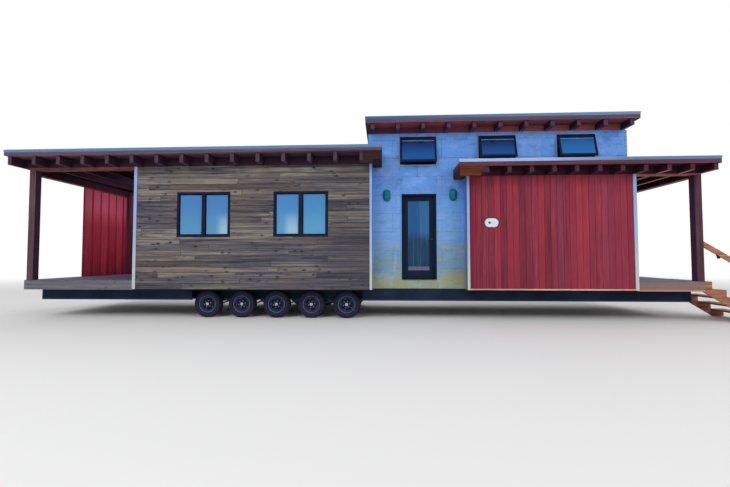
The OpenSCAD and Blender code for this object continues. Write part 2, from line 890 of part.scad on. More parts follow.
// Opening of the leaf's glass, made smaller by s all round
module leaf_hole(y0, y1, s) {
  box(leaf_x0 + stile + s, leaf_x0 + leaf_w - stile - s, y0, y1,
      leaf_z0 + rail_low + s, leaf_z1 - rail_up - s);
}

glass_t = 20;
module door_leaf() {
  mid_y = (door_y + door_in) / 2;
  color([0.14, 0.13, 0.15]) union() {
    difference() {
      box(leaf_x0, leaf_x0 + leaf_w, door_y, door_in, leaf_z0, leaf_z1);
      leaf_hole(door_y - e, mid_y - glass_t / 2, -bead);
      leaf_hole(door_y - e, door_in + e, 0);
      leaf_hole(mid_y + glass_t / 2, door_in + e, -bead);
    }
    for (z = hinge_z) leaf_knuckle(z);
  }
}

module door_glass() {
  mid_y = (door_y + door_in) / 2;
  color([0.55, 0.65, 0.75, 0.5]) leaf_hole(mid_y - glass_t / 2, mid_y + glass_t / 2, 0);
}

// Lever handles on both faces, on one spindle line
lever_l = 115;
handle_in = 60;
handle_up = 1000;
module lever() {
  rotate([90, 0, 0]) rotate_extrude() polygon([[0, 0], [26, 0], [26, 5], [23, 8], [9, 9], [9, 56], [0, 56]]);
  translate([0, -48, 0]) rotate([0, -90, 0]) linear_extrude(lever_l) stadium(16, 18);
}

module door_handle() {
  color([0.60, 0.60, 0.62]) for (s = [0, 1])
    translate([leaf_x0 + leaf_w - handle_in, s == 0 ? door_y : door_in, floor_z + handle_up])
      mirror([0, s, 0]) lever();
}

// Guessed glazed doors in the end walls, fixed
end_in = 40;
end_t = 55;
end_stile = 160;
end_low = 235;
module end_hole(x0, x1, s) {
  box(x0, x1, -end_door_w / 2 + end_stile - s, end_door_w / 2 - end_stile + s, floor_z + end_low - s,
      door_top - end_stile + s);
}

module end_door(x) {
  difference() {
    box(x + end_in, x + end_in + end_t, -end_door_w / 2, end_door_w / 2, floor_z, door_top);
    end_hole(x, x + wall_t, 0);
    end_hole(x + end_in - e, x + end_in + 15, bead);
    end_hole(x + end_in + end_t - 15, x + end_in + end_t + e, bead);
  }
}

module end_doors() {
  color([0.14, 0.13, 0.15]) {
    end_door(x_a);
    end_door(x_d - wall_t);
  }
}

// Double windows of the left volume: flat flange on the wall, frame in the hole, two stepped sashes
win_f = 62;
win_step = 24;
flange = 10;
flange_out = 15;
win_in = 90;
module pane_box(x, s, y0, y1, f) {
  h = win_w / 4;
  box(x + s * h - h + f, x + s * h + h - f, y0, y1, win_z + f, win_z + win_h - f);
}

module win_frame(x) {
  h = win_w / 2;
  difference() {
    union() {
      box(x - h - flange, x + h + flange, -hw - flange_out, -hw, win_z - flange, win_z + win_h + flange);
      box(x - h, x + h, -hw - e, -hw + win_in, win_z, win_z + win_h);
    }
    for (s = [-1, 1]) {
      pane_box(x, s, -hw - wall_t, -hw + wall_t, win_f);
      pane_box(x, s, -hw - wall_t, -hw + flange_out, win_f - win_step);
      pane_box(x, s, -hw + win_in - flange_out, -hw + wall_t, win_f - win_step);
    }
  }
}

module window_frames() {
  color([0.10, 0.10, 0.12]) both() for (x = win_x) win_frame(x);
}

glass_y = 30;
module window_glass() {
  color([0.55, 0.65, 0.75, 0.5]) {
    both() for (x = win_x) for (s = [-1, 1]) pane_box(x, s, -hw + glass_y, -hw + glass_y + glass_t, win_f);
    for (x = [x_a, x_d - wall_t]) end_hole(x + end_in + 17, x + end_in + 17 + glass_t, 0);
    both() for (i = [0 : 2]) on_sash(i) sash_box(i, sash_f, -sash_t + 10, -sash_t + 10 + glass_t);
  }
}

// Pale trim round the door and the awning windows
edge_trim_w = 14;
sill_trim_h = 30;
sill_trim_out = 14;
edge_trim_t = 16;
module opening_trim(x0, x1, z0, z1) {
  w = edge_trim_w;
  difference() {
    box(x0 - w, x1 + w, -hm - edge_trim_t, -hm, z0, z1 + w);
    box(x0, x1, -hm - 2 * edge_trim_t, -hm + e, z0 - w, z1);
  }
}

module opening_trims() {
  color([0.80, 0.80, 0.78]) {
    opening_trim(door_x0, door_x1, floor_z, door_top);
    both() for (i = [0 : 2]) {
      x0 = aw_x[i] - aw_w / 2;
      z0 = aw_top - aw_h[i];
      opening_trim(x0, x0 + aw_w, z0, aw_top);
      box(x0 - edge_trim_w, x0 + aw_w + edge_trim_w, -hm - edge_trim_t - sill_trim_out, -hm,
          z0 - sill_trim_h, z0);
    }
  }
}

// Awning windows: frame in the wall; sash hung at its head and propped open, fixed
aw_f = 34;
aw_out = 12;
aw_deep = 90;
aw_step = 14;
aw_step_y = 40;
module aw_cut(i, f, y0) {
  w = aw_w / 2 - f;
  box(aw_x[i] - w, aw_x[i] + w, y0, -hm + aw_deep + e, aw_top - aw_h[i] + f, aw_top - f);
}

module awning_frames() {
  color([0.07, 0.07, 0.08]) both() for (i = [0 : 2]) {
    x0 = aw_x[i] - aw_w / 2;
    z0 = aw_top - aw_h[i];
    difference() {
      box(x0, x0 + aw_w, -hm - aw_out, -hm + aw_deep, z0, aw_top);
      aw_cut(i, aw_f, -hm - 2 * aw_out);
      aw_cut(i, aw_f - aw_step, -hm + aw_step_y);
    }
  }
}

module on_sash(i) {
  translate([aw_x[i], -hm - aw_out, aw_top - sash_drop]) rotate([-awning_deg, 0, 0]) children();
}

sash_t = 38;
sash_f = 52;
sash_drop = 30;
sash_in = 8;
sash_head = 40;
sash_foot = 12;
sash_step = 16;
module sash_slab(i, y0, y1) {
  w = aw_w / 2 - sash_in;
  box(-w, w, y0, y1, sash_drop + sash_in - aw_h[i], 0);
}

// Opening in the sash for its glass, with a deeper rail at the head
module sash_box(i, f, y0, y1) {
  w = aw_w / 2 - sash_in - f;
  h = aw_h[i] - sash_drop - sash_in;
  box(-w, w, y0, y1, f + sash_foot - h, -f - sash_head);
}

// Sash with a stepped inner edge on its outer face
module awning_sashes() {
  color([0.08, 0.08, 0.09]) both() for (i = [0 : 2]) on_sash(i) difference() {
    sash_slab(i, -sash_t, 0);
    sash_box(i, sash_f, -2 * sash_t, sash_t);
    sash_box(i, sash_f - sash_step, -2 * sash_t, -sash_t + 10);
  }
}

// Rounded white hatch in the red wall: rim, domed lid edge and a body through the wall
module hatch() {
  color([0.90, 0.90, 0.92]) translate([hatch_x, -hw, hatch_z]) rotate([90, 0, 0]) {
    linear_extrude(10) stadium(hatch_w, hatch_h);
    translate([0, 0, 10]) linear_extrude(14) stadium(hatch_w - 26, hatch_h - 26);
    translate([0, 0, 24]) linear_extrude(6) stadium(hatch_w - 46, hatch_h - 46);
    body_cut = 2 * (hatch_rim + hatch_fit);
    translate([0, 0, -60]) linear_extrude(60) stadium(hatch_w - body_cut, hatch_h - body_cut);
  }
}

// Oval green wall lights beside the door: back plate, ring and a domed cover
light_x = [door_x - light_left, door_x + light_right];
light_z = 3059;
light_w = 185;
light_h = 302;
module light() {
  r = light_w / 2 - 14;
  s = (light_h - light_w) / 2;
  linear_extrude(18) stadium(light_w, light_h);
  linear_extrude(34) stadium(light_w - 14, light_h - 14);
  intersection() {
    translate([-light_w, -light_h, 0]) cube([2 * light_w, 2 * light_h, light_w]);
    translate([0, 0, 20]) union() {
      for (y = [-s, s]) translate([0, y, 0]) sphere(r = r);
      translate([0, -s, 0]) rotate([-90, 0, 0]) cylinder(r = r, h = 2 * s);
    }
  }
}

module wall_lights() {
  color([0.10, 0.36, 0.28]) for (x = light_x) translate([x, -hm, light_z]) rotate([90, 0, 0]) light();
}

// One wheel about its own axis: tyre with round shoulders and grooves, then a dished rim, a hair apart
shoulder_r = 34;
groove_w = 9;
groove_h = 8;
groove_gap = 42;
module tyre_profile() {
  w = tyre_w / 2;
  difference() {
    union() {
      translate([rim_r + 0.2, -w + 25]) square([30, tyre_w - 50]);
      translate([rim_r + 12, -w + shoulder_r / 2]) square([40, tyre_w - shoulder_r]);
      translate([rim_r + 20, -w]) square([tyre_r - shoulder_r - rim_r - 20, tyre_w]);
      translate([tyre_r - shoulder_r - e, -w + shoulder_r]) square([shoulder_r + e, tyre_w - 2 * shoulder_r]);
      for (s = [-1, 1]) translate([tyre_r - shoulder_r, s * (w - shoulder_r)]) circle(r = shoulder_r);
    }
    for (g = [-1, 0, 1]) translate([tyre_r - groove_h, g * groove_gap - groove_w / 2])
      square([2 * groove_h, groove_w]);
  }
}

// The rim's web is flat where the slots go through it
slot_r = 138;
slot_t = 30;
slot_end_r = 17;
slot_deg = 22;
web_front = 52;
web_deep = 14;
web_half = 25;
module rim_profile() {
  w = tyre_w / 2;
  back = web_front - web_deep;
  polygon([[stub_r + 0.05, -w + 60], [85, -w + 60], [85, back - 25], [slot_r - web_half, back],
    [slot_r + web_half, back], [rim_r - 38, back - 25], [rim_r - 20, -w + 25], [rim_r, -w + 25],
    [rim_r, w - 12], [rim_r - 12, w - 12], [rim_r - 22, w - 30], [rim_r - 28, back - 8],
    [slot_r + web_half, web_front], [slot_r - web_half, web_front], [72, w - 30], [66, w - 12],
    [52, w - 6], [0, w - 6], [0, 5], [stub_r + 0.05, 5]]);
}

// Slot of the rim: part of a ring with round ends
module rim_slot() {
  intersection() {
    difference() {
      circle(r = slot_r + slot_t / 2);
      circle(r = slot_r - slot_t / 2);
    }
    polygon([[0, 0], [2 * slot_r, -2 * slot_r * tan(slot_deg)], [2 * slot_r, 2 * slot_r * tan(slot_deg)]]);
  }
  for (s = [-1, 1]) rotate(s * slot_deg) translate([slot_r, 0]) circle(r = slot_end_r);
}

module wheel_body() {
  rotate([90, 0, 0]) {
    rotate_extrude() tyre_profile();
    difference() {
      rotate_extrude() rim_profile();
      for (a = [0 : 72 : 359]) rotate(a) translate([0, 0, -tyre_w]) linear_extrude(2 * tyre_w) rim_slot();
    }
  }
}

module wheel(i, side) {
  x = x_a + first_axle + i * axle_gap;
  color([0.10, 0.10, 0.12]) translate([x, side * (hm - tyre_w / 2), tyre_r])
    if (side < 0) wheel_body(); else mirror([0, 1, 0]) wheel_body();
}

frame();
axle_beams();
springs();
floor_plate();  // floor
left_front_wall();
left_back_wall();
left_end_wall();
left_return_walls();
front_wall_left_of_door();
front_wall_right_of_door();
front_wall_over_door();
mid_back_wall();
right_front_wall();
right_back_wall();
right_end_wall();
right_return_walls();
upper_side_walls();
upper_end_walls();
corner_strips();
bottom_strips();
left_rafters();
right_rafters();
upper_rafters();
roof_boards();
roof_sheets();
porch_beams();
posts();
porch_floors();
privacy_screen();
stringers();
treads();
handrail();
rail_bracket();
door_frame();
door_hinges();
door_leaf();  // door
door_glass();
door_handle();
end_doors();
window_frames();
window_glass();
opening_trims();
awning_frames();
awning_sashes();
hatch();
wall_lights();
wheel(0, -1);  // wheel_front_1
wheel(1, -1);  // wheel_front_2
wheel(2, -1);  // wheel_front_3
wheel(3, -1);  // wheel_front_4
wheel(4, -1);  // wheel_front_5
wheel(0, 1);  // wheel_back_1
wheel(1, 1);  // wheel_back_2
wheel(2, 1);  // wheel_back_3
wheel(3, 1);  // wheel_back_4
wheel(4, 1);  // wheel_back_5
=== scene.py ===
"""Looks of a tiny house on wheels: boards, metal sheets, glass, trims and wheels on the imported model."""
import random
from math import copysign, cos, pi, radians, sin

import bmesh
import bpy
from mathutils import Matrix, Vector


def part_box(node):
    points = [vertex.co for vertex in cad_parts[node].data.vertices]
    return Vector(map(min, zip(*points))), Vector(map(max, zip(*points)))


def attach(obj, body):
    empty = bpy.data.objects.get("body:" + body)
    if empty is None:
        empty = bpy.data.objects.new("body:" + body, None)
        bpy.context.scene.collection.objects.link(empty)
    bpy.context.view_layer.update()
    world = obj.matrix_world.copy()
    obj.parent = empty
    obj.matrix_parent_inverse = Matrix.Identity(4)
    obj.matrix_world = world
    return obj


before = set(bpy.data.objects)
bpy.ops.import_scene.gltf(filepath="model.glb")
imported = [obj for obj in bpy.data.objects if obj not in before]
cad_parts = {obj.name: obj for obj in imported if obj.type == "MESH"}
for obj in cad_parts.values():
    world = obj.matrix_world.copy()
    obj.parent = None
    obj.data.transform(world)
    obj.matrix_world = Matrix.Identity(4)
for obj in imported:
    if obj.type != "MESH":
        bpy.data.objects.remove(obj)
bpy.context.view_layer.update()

chance = random.Random(41)

# Faces and levels of the house, in metres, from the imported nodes
LEFT_LO, LEFT_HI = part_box("left_front_wall")
RIGHT_LO, RIGHT_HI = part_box("right_front_wall")
DOOR_LO, DOOR_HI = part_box("door_frame")
OVER_LO, OVER_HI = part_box("front_wall_over_door")
UPPER_LO, UPPER_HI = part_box("upper_end_walls")
DECK_LO, DECK_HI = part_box("porch_floors")
ROOF_LO, ROOF_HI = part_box("roof_boards")
X_A, X_B, X_C, X_D = LEFT_LO.x, LEFT_HI.x, RIGHT_LO.x, RIGHT_HI.x
X_UP_L, X_UP_R = UPPER_LO.x, UPPER_HI.x
HALF, HALF_MID, HALF_ROOF = -LEFT_LO.y, -OVER_LO.y, ROOF_HI.y
CLAD_Z, FLOOR_Z, DECK_Z, DOOR_TOP = LEFT_LO.z, DOOR_LO.z, DECK_HI.z, DOOR_HI.z
LEFT_TOP, RIGHT_TOP, MID_TOP = LEFT_HI.z, RIGHT_HI.z, OVER_HI.z

# The sheet's top above the underside of its boards, the width of its folded edge, and how far the roofs reach past
# the walls: the arms of the side roofs, the upper roof at its ends and along its sides
SHEET_UP, EDGE_IN, EAR_OVER, UPPER_OVER, EAVE = 0.128, 0.045, 0.243, 0.057, 0.420
# The left, right and upper roof: ends along X, half width, underside of the boards on the rafters
ROOFS = ((ROOF_LO.x, X_B + EAR_OVER, HALF_ROOF, LEFT_TOP + 0.215),
         (X_C - EAR_OVER, ROOF_HI.x, HALF_ROOF, RIGHT_TOP + 0.162),
         (X_UP_L - UPPER_OVER, X_UP_R + UPPER_OVER, HALF_MID + EAVE, MID_TOP + 0.153))

# Openings and fittings
TRIM_IN, TRIM_OUT, WALL_T, POST_W, SCREEN_T = 0.055, 0.020, 0.140, 0.160, 0.038
WINDOWS = (X_A + 1.742, X_A + 4.144)
WIN_W, WIN_H, WIN_Z, WIN_EDGE, WIN_GLASS_IN = 1.310, 1.080, 2.027, 0.062, 0.030
DOOR_X = (DOOR_LO.x + DOOR_HI.x) / 2
AWNINGS = ((DOOR_X - 0.015, 0.710), (X_C + 0.833, 0.605), (X_C + 2.740, 0.605))
AWNING_W, AWNING_TOP, AWNING_ANGLE = 0.905, MID_TOP - 0.092, radians(14)
HATCH_X, HATCH_Z, HATCH_W, HATCH_H = X_C + 0.566, 2.326, 0.330, 0.226
LIGHTS = ((DOOR_X - 0.797, 3.059), (DOOR_X + 0.844, 3.059))
WHEEL_XS = [X_A + 1.675 + i * 0.886 for i in range(5)]
WHEEL_Z, RIM_R, TYRE_W = 0.340, 0.215, 0.205
END_DOOR_HALF = 0.450

# Steps of the boards and sheets, lengths of their pieces, steps and radius of nails and screws
SIDING_PITCH, RED_PITCH, SCREEN_PITCH, SOFFIT_PITCH, DECK_PITCH = 0.1352, 0.1445, 0.333, 0.1397, 0.1453
SHEET_ROW, SHEET_ROW_Z, SHEET_LONG, SHEET_SCREWS = 0.4617, 1.226, 1.219, 0.295
RIB_PITCH, RIB_H, FASCIA_H, DRIP_TOP, FASCIA_LONG, DRIP_LONG = 0.2286, 0.011, 0.070, 0.097, 4.877, 3.048
STUDS, JOISTS, FASCIA_NAILS, NAIL_R = 0.406, 0.48, 0.41, 0.0035
WHITE = (1.0, 1.0, 1.0, 1.0)


def screen(r, g, b):
    """A colour as read in open shade, 0 to 255, with a part of the shade's blue taken out, as a shader colour."""
    evened = (min(c * part, 255) / 255 for c, part in zip((r, g, b), (1.03, 1.0, 0.96)))
    return tuple(c / 12.92 if c < 0.04 else ((c + 0.055) / 1.055) ** 2.4 for c in evened) + (1.0,)


def dimmed(colour, part):
    return tuple(c * part for c in colour)


class Wire:
    """A value inside a node tree. Arithmetic on it adds the Math nodes."""

    def __init__(self, tree, socket):
        self.tree, self.socket = tree, socket

    def of(self, operation, *others):
        """A Math node on this wire and the other values."""
        return self.tree.node("Math", {"operation": operation}, dict(enumerate((self, *others))))

    def __add__(self, other):
        return self.of("ADD", other)

    def __sub__(self, other):
        return self.of("SUBTRACT", other)

    def __mul__(self, other):
        return self.of("MULTIPLY", other)

    def __rsub__(self, other):
        return self * -1 + other

    __radd__ = __add__
    __rmul__ = __mul__


class Network:
    """A node tree being wired up."""

    def __init__(self, tree):
        self.tree = tree

    def node(self, kind, settings=None, inputs=None, out=0):
        """Adds a node: its settings first, then a value or a wire on each of its sockets."""
        made = self.tree.nodes.new("ShaderNode" + kind)
        for key, value in (settings or {}).items():
            setattr(made, key, value)
        for key, value in (inputs or {}).items():
            self.feed(made.inputs[key], value)
        return Wire(self, made.outputs[out])

    def feed(self, socket, value):
        if isinstance(value, Wire):
            self.tree.links.new(value.socket, socket)
        else:
            socket.default_value = value

    def mix(self, factor, a, b, blend="MIX"):
        """Mixes two colours, each a wire, a shader colour or three numbers as read in open shade."""
        a, b = (screen(*c) if isinstance(c, tuple) and len(c) == 3 else c for c in (a, b))
        return self.node("Mix", {"data_type": "RGBA", "blend_type": blend}, {0: factor, 6: a, 7: b}, out=2)

    def rise(self, value, low, high):
        """0 below low, 1 above high, smooth between."""
        return self.node("MapRange", {"interpolation_type": "SMOOTHSTEP"},
                         {"Value": value, "From Min": low, "From Max": high})

    def fall(self, value, low, high):
        return 1 - self.rise(value, low, high)

    def between(self, value, low, high):
        """1 from low to high, 0 beyond."""
        return value.of("GREATER_THAN", low) * value.of("LESS_THAN", high)

    def part(self, vector, axis):
        return self.node("SeparateXYZ", {}, {0: vector}, out=axis)


class Finish(Network):
    """A material being built round one Principled shader, dull unless it says otherwise."""

    def __init__(self, name, **constants):
        self.material = bpy.data.materials.new(name)
        self.material.use_nodes = True
        super().__init__(self.material.node_tree)
        self.shader = self.tree.nodes["Principled BSDF"]
        self.set(**{"Specular_IOR_Level": 0.2, **constants})
        self.at = self.node("TexCoord", out="Object")
        self.x, self.y, self.z = (self.part(self.at, axis) for axis in range(3))

    def set(self, **values):
        for socket, value in values.items():
            self.feed(self.shader.inputs[socket.replace("_", " ")], value)

    def mark(self, name):
        """A number that the pieces carry at each corner: the tone of a board, or 1 along its edges."""
        return self.node("Attribute", {"attribute_name": name}, out="Fac")

    def normal(self, axis):
        return self.part(self.node("NewGeometry", out="Normal"), axis)

    def scaled(self, at, scale):
        return self.node("VectorMath", {"operation": "MULTIPLY"}, {0: at, 1: scale})

    def noise(self, scale, detail=4.0, rough=0.55, at=None):
        """Noise in waves per metre, one number or one for each axis."""
        scale = scale if isinstance(scale, tuple) else (scale,) * 3
        return self.node("TexNoise", {}, {"Vector": self.scaled(at or self.at, scale), "Scale": 1.0,
                                          "Detail": detail, "Roughness": rough})

    def bump(self, height, strength, distance):
        self.set(Normal=self.node("Bump", {}, {"Height": height, "Strength": strength, "Distance": distance}))

    def wash(self, amount, colour):
        """Lays a colour over the finish so far."""
        self.colour = self.mix(amount, self.colour, colour)

    def done(self, **values):
        self.set(Base_Color=self.colour, **values)
        return self.material

    def spot(self, x0, x1, z0, z1, soft):
        """1 in the middle of a rectangle on the front or the back, fading to 0 at its edges."""
        across = self.rise(self.x, x0, x0 + soft) * self.fall(self.x, x1 - soft, x1)
        return across * self.rise(self.z, z0, z0 + soft) * self.fall(self.z, z1 - soft, z1)


def grain_scale(along, across, length):
    return tuple(length if axis == along else across for axis in range(3))


class Timber(Finish):
    """Sawn wood: streaks and fine grain along one axis, knots, a tone for each board."""

    def __init__(self, name, colours, along, boards=True, spread=0.45, streak=2.2, knots=0.0, joints=0.5,
                 knot_size=None, clear=0.70):
        super().__init__(name)
        dark, mid, pale = (screen(*c) for c in colours)
        tone, at = self.on_board(boards)
        self.streaks = self.noise(grain_scale(along, 24.0, 0.8), 5.0, 0.6, at)
        fine = self.noise(grain_scale(along, 150.0, 5.0), 3.0, 0.6, at)
        level = tone * spread + self.streaks * streak + fine * 0.9 + (0.05 - spread / 2 - streak / 2)
        self.colour = self.mix(self.rise(level, 0.5, 1.0), self.mix(self.rise(level, 0.0, 0.5), dark, mid), pale)
        self.height = self.streaks * 0.5 + fine * 0.5
        deep = dimmed(dark[:3], 0.40) + (1.0,)
        if knots:
            spots = {"Vector": self.scaled(at, knot_size or grain_scale(along, 9.0, 5.0)), "Scale": 1.0}
            near, pick = (self.node("TexVoronoi", {}, spots, out) for out in ("Distance", "Color"))
            chosen = self.rise(self.node("SeparateColor", {}, {0: pick}), clear, clear + 0.06)
            knot = self.fall(near, 0.08, 0.26) * chosen
            self.wash(self.fall(near, 0.14, 0.46) * chosen * 0.4 * knots, dark)
            self.wash(knot * knots, deep)
            self.height = self.height - knot * 0.5
        if boards:
            self.wash(self.mark("rim") * joints, deep)

    def on_board(self, boards):
        """Tone of a board and where a point lies on it: each board is cut from another part of the log."""
        turned = self.node("CombineXYZ", {}, {0: self.y, 1: self.x, 2: self.z})
        across = self.rise(self.normal(0).of("ABSOLUTE"), 0.6, 0.8)
        at = self.node("Mix", {"data_type": "VECTOR"}, {0: across, 4: self.at, 5: turned}, out=1)
        if not boards:
            return self.noise(1.3, 2.0), at
        tone = self.mark("tone")
        shift = self.node("VectorMath", {"operation": "SCALE"}, {0: (37.3, 23.1, 15.7), "Scale": tone})
        return tone, self.node("VectorMath", {"operation": "ADD"}, {0: at, 1: shift})

    def sawn(self, rough=0.64, relief=0.35):
        self.bump(self.height, relief, 0.003)
        return self.done(Roughness=self.streaks * 0.16 + rough)


def weathered_siding():
    """Reclaimed boards, grey, brown and purplish, bluer low down and darker towards the middle of the house."""
    f = Timber("weathered_siding", ((49, 49, 62), (89, 89, 99), (136, 132, 126)), 0, spread=0.64, knots=1.0,
               joints=0.42, knot_size=(4.6, 1.2, 9.0), clear=0.44)
    f.wash(f.rise(f.noise((0.45, 0.45, 0.9), 3.0), 0.45, 0.65) * 0.3, (118, 102, 84))
    cool = f.rise(f.x, X_B - 4.5, X_B) * f.fall(f.z, 1.2, 2.4) + f.fall(f.z, 0.7, 1.3) * 0.4
    f.wash(cool * 0.4, (58, 66, 88))
    f.wash(f.rise(f.x, X_B - 1.8, X_B - 0.2) * 0.4, (62, 60, 68))
    return f.sawn(0.66, 0.4)


def wall_red():
    """Red stain that took differently on each board, with painted shade darkening it towards the middle of the house.
    """
    f = Timber("red_boards", ((94, 33, 54), (126, 48, 68), (152, 64, 82)), 2, spread=0.55, streak=1.9, knots=0.12,
               joints=0.28)
    dye = f.mark("tone").of("PINGPONG", 0.13) * 7.7
    right = f.rise(f.x, X_C + 2.2, X_D - 0.3)
    f.wash(f.rise(dye, 0.6, 0.9) * 0.5, (162, 50, 66))
    f.wash(f.fall(dye, 0.1, 0.4) * (0.5 - right * 0.2), (114, 58, 84))
    f.wash(right * 0.18, (170, 50, 76))
    broad = f.rise(f.noise((0.8, 0.8, 0.5), 3.0), 0.45, 0.7)
    # Painted shade darkening the boards towards the recess in the middle of the house, plus broad blotches at random
    f.wash(f.fall(f.x, X_C, X_C + 2.2) * 0.15 + broad * 0.25, (100, 34, 54))
    # Painted shadow along the inner edge, beside the corner strip
    f.wash(f.fall(f.x, X_C + 0.10, X_C + 0.22) * 0.5, (70, 20, 44))
    return f.sawn()


def porch_red():
    """Stained screen boards, dark at the foot, paler towards the top as painted light, with a band of painted shade
    below.
    """
    f = Timber("porch_red_boards", ((96, 20, 36), (124, 32, 50), (150, 52, 72)), 2, spread=0.3, streak=1.5, joints=0.7)
    # Painted light on the upper boards, then a band of painted shade lower down
    f.wash(f.rise(f.z, 2.3, 3.3) * 0.75, (160, 75, 100))
    f.wash(f.rise(f.z, 1.4, 2.2) * f.fall(f.z, 2.4, 3.0) * 0.25, (84, 24, 38))
    return f.sawn(0.62, 0.3)


def porch_timber(name, colours, along, inner, right):
    """Beams or posts of the porches: painted shade darkens the faces that look into them, and a tint on the right
    paints the other light of the right porch.
    """
    f = Timber(name, colours, along, boards=False, knots=0.3)
    # Tint of the right porch, painted light: paler on the beams, darker on the posts
    f.wash(f.rise(f.x, 0.0, 1.0) * 0.45, right)
    # Painted shade on the faces that look into the porch
    f.wash(f.fall(f.normal(0) * f.x.of("SIGN"), -0.8, -0.5) * 0.85, inner)
    return f.sawn()


def roof_timber(kind):
    """Timber of the three roofs: grey on the left, nearly black red on the right, warm on the upper roof; painted
    shade and light under the eaves.
    """
    name, left_tint, right_tint, upper_tint = {
        "fascia": ("fascia_boards", (106, 90, 116), (104, 64, 86), (108, 82, 110)),
        "rafters": ("stained_rafters", (84, 68, 88), (84, 50, 70), (90, 66, 100)),
        "soffit": ("soffit_boards", (96, 74, 98), (46, 14, 28), (168, 100, 106))}[kind]
    f = Timber(name, ((96, 96, 96), (176, 176, 176), (250, 250, 250)), 1 if kind == "rafters" else 0,
               boards=kind == "soffit", knots=0.3)
    upper = f.rise(f.z, MID_TOP - 0.3, MID_TOP - 0.1)
    right = f.rise(f.x, X_B + 0.3, X_C - 0.3) * (1 - upper)
    tint = f.mix(upper, f.mix(right, left_tint, right_tint), upper_tint)
    f.colour = f.mix(0.35, f.mix(1.0, tint, f.colour, "MULTIPLY"), tint)
    depth = f.y.of("ABSOLUTE")
    beyond = depth + upper * (HALF - HALF_MID)
    if kind == "soffit":
        # Painted shade deep under the eave, near the wall
        f.wash(f.fall(beyond, HALF, HALF + 0.3) * 0.45, (40, 20, 36))
        # Painted light on the left roof's soffit towards its outer edge
        rim = f.rise(depth, HALF + 0.20, HALF_ROOF) * f.fall(f.x, X_A - 1.0, X_B) * (1 - upper)
        f.wash(rim * 0.8, (150, 112, 118))
    if kind == "rafters":
        # Painted shade on the sides of the rafters, between them
        side = f.rise(f.normal(0).of("ABSOLUTE"), 0.5, 0.8)
        f.wash(side * 0.75, f.mix(upper, (42, 16, 44), (38, 12, 60)))
        # Painted shade on the blocking at the wall, deepest higher up under the left eave; on the upper roof it turns
        # warmer and paler towards the right
        low = f.mix(f.rise(f.z, LEFT_TOP, LEFT_TOP + 0.18), (60, 28, 44), (36, 14, 34))
        warm = f.mix(f.rise(f.x, X_B + 1.0, X_B + 4.0), (95, 43, 70), (160, 80, 76))
        blocks = f.mix(upper, f.mix(right, low, (58, 15, 38)), warm)
        f.wash(f.fall(beyond, HALF + 0.10, HALF + 0.14) * (1 - side) * 0.85, blocks)
        # Painted light on the undersides of the right porch's rafters
        f.wash(f.fall(f.normal(2), -0.9, -0.7) * f.rise(f.x, X_D, X_D + 0.1) * 0.75, (190, 132, 112))
    return f.sawn()


def decking():
    """Porch boards, grey at the edges; painted sky light turns the faces that look up bluish, and painted sunlight
    makes the right porch paler.
    """
    f = Timber("decking", ((84, 86, 98), (109, 111, 123), (136, 134, 136)), 0, spread=0.35, knots=0.5)
    up, right = f.rise(f.normal(2), 0.4, 0.8), f.rise(f.x, 0.0, 1.0)
    edge = right * (1 - up)
    # Painted sky light on the faces that look up
    f.wash(up * 0.6, (90, 78, 116))
    # Painted sunlight on the right porch: warmer edges and paler blue tops
    f.wash(edge * 0.6, (136, 108, 100))
    f.wash(right * up * 0.55, (116, 124, 182))
    f.wash(edge * f.fall(f.z, CLAD_Z + 0.008, CLAD_Z + 0.030) * 0.8, (178, 132, 116))
    return f.sawn()


def painted(name, colour, rough=0.55, dust=0.1, dust_colour=(150, 140, 130), low=0.6, foot=None, gloss=0.2,
            recess_shadow=None):
    """Painted metal with a faint orange peel, rubbed patches and dust that thickens downward; on request a foot of
    painted light and a painted shadow over the recess.
    """
    f = Finish(name, Specular_IOR_Level=gloss)
    blotch, speck = f.noise(1.6, 5.0, 0.6), f.noise(60.0, 2.0)
    grime = f.rise(blotch, 0.42, 0.8) * dust + f.fall(f.z, 0.0, low) * dust * f.rise(speck, 0.3, 0.7)
    f.colour = f.mix(f.rise(blotch, 0.25, 0.75) * 0.25, colour, dimmed(colour, 0.78))
    if foot:
        # Painted light from the ground, paler and greener towards the foot
        f.wash(f.fall(f.z, CLAD_Z, 2.6), foot)
    if recess_shadow:
        # Painted shadow on the parts of the strips that reach into the recess
        f.wash(f.between(f.x, X_B + 0.003, X_C - 0.003) * 0.8, recess_shadow)
    f.wash(grime, dust_colour)
    f.bump(speck, 0.06, 0.001)
    return f.done(Roughness=grime * 0.35 + rough)


def frame_paint():
    """Dull blue-black steel with a painted highlight along its lower edge, and rust in spots."""
    f = Finish("frame_steel", Roughness=0.6, Specular_IOR_Level=0.1)
    blotch = f.noise((1.3, 1.3, 2.5), 5.0, 0.6)
    rust = f.rise(f.noise(14.0, 4.0, 0.65), 0.62, 0.72)
    f.colour = f.mix(f.rise(blotch, 0.3, 0.7), (18, 28, 50), (32, 45, 70))
    # Painted highlight along the lower flange
    f.wash(f.fall(f.z, 0.452, 0.475), (58, 75, 102))
    f.wash(rust * 0.35, (84, 56, 52))
    f.bump(blotch + rust * 0.3, 0.12, 0.002)
    return f.done()


def inside_mask(f):
    """1 on faces inside the rooms, 0 outside."""
    t = WALL_T - 0.001
    left, right, middle = (f.between(f.x, x0 + t, x1 - t) * f.between(f.y, t - half, half - t)
                           for x0, x1, half in ((X_A, X_B, HALF), (X_C, X_D, HALF), (X_A, X_D, HALF_MID)))
    return left.of("MAXIMUM", right).of("MAXIMUM", middle)


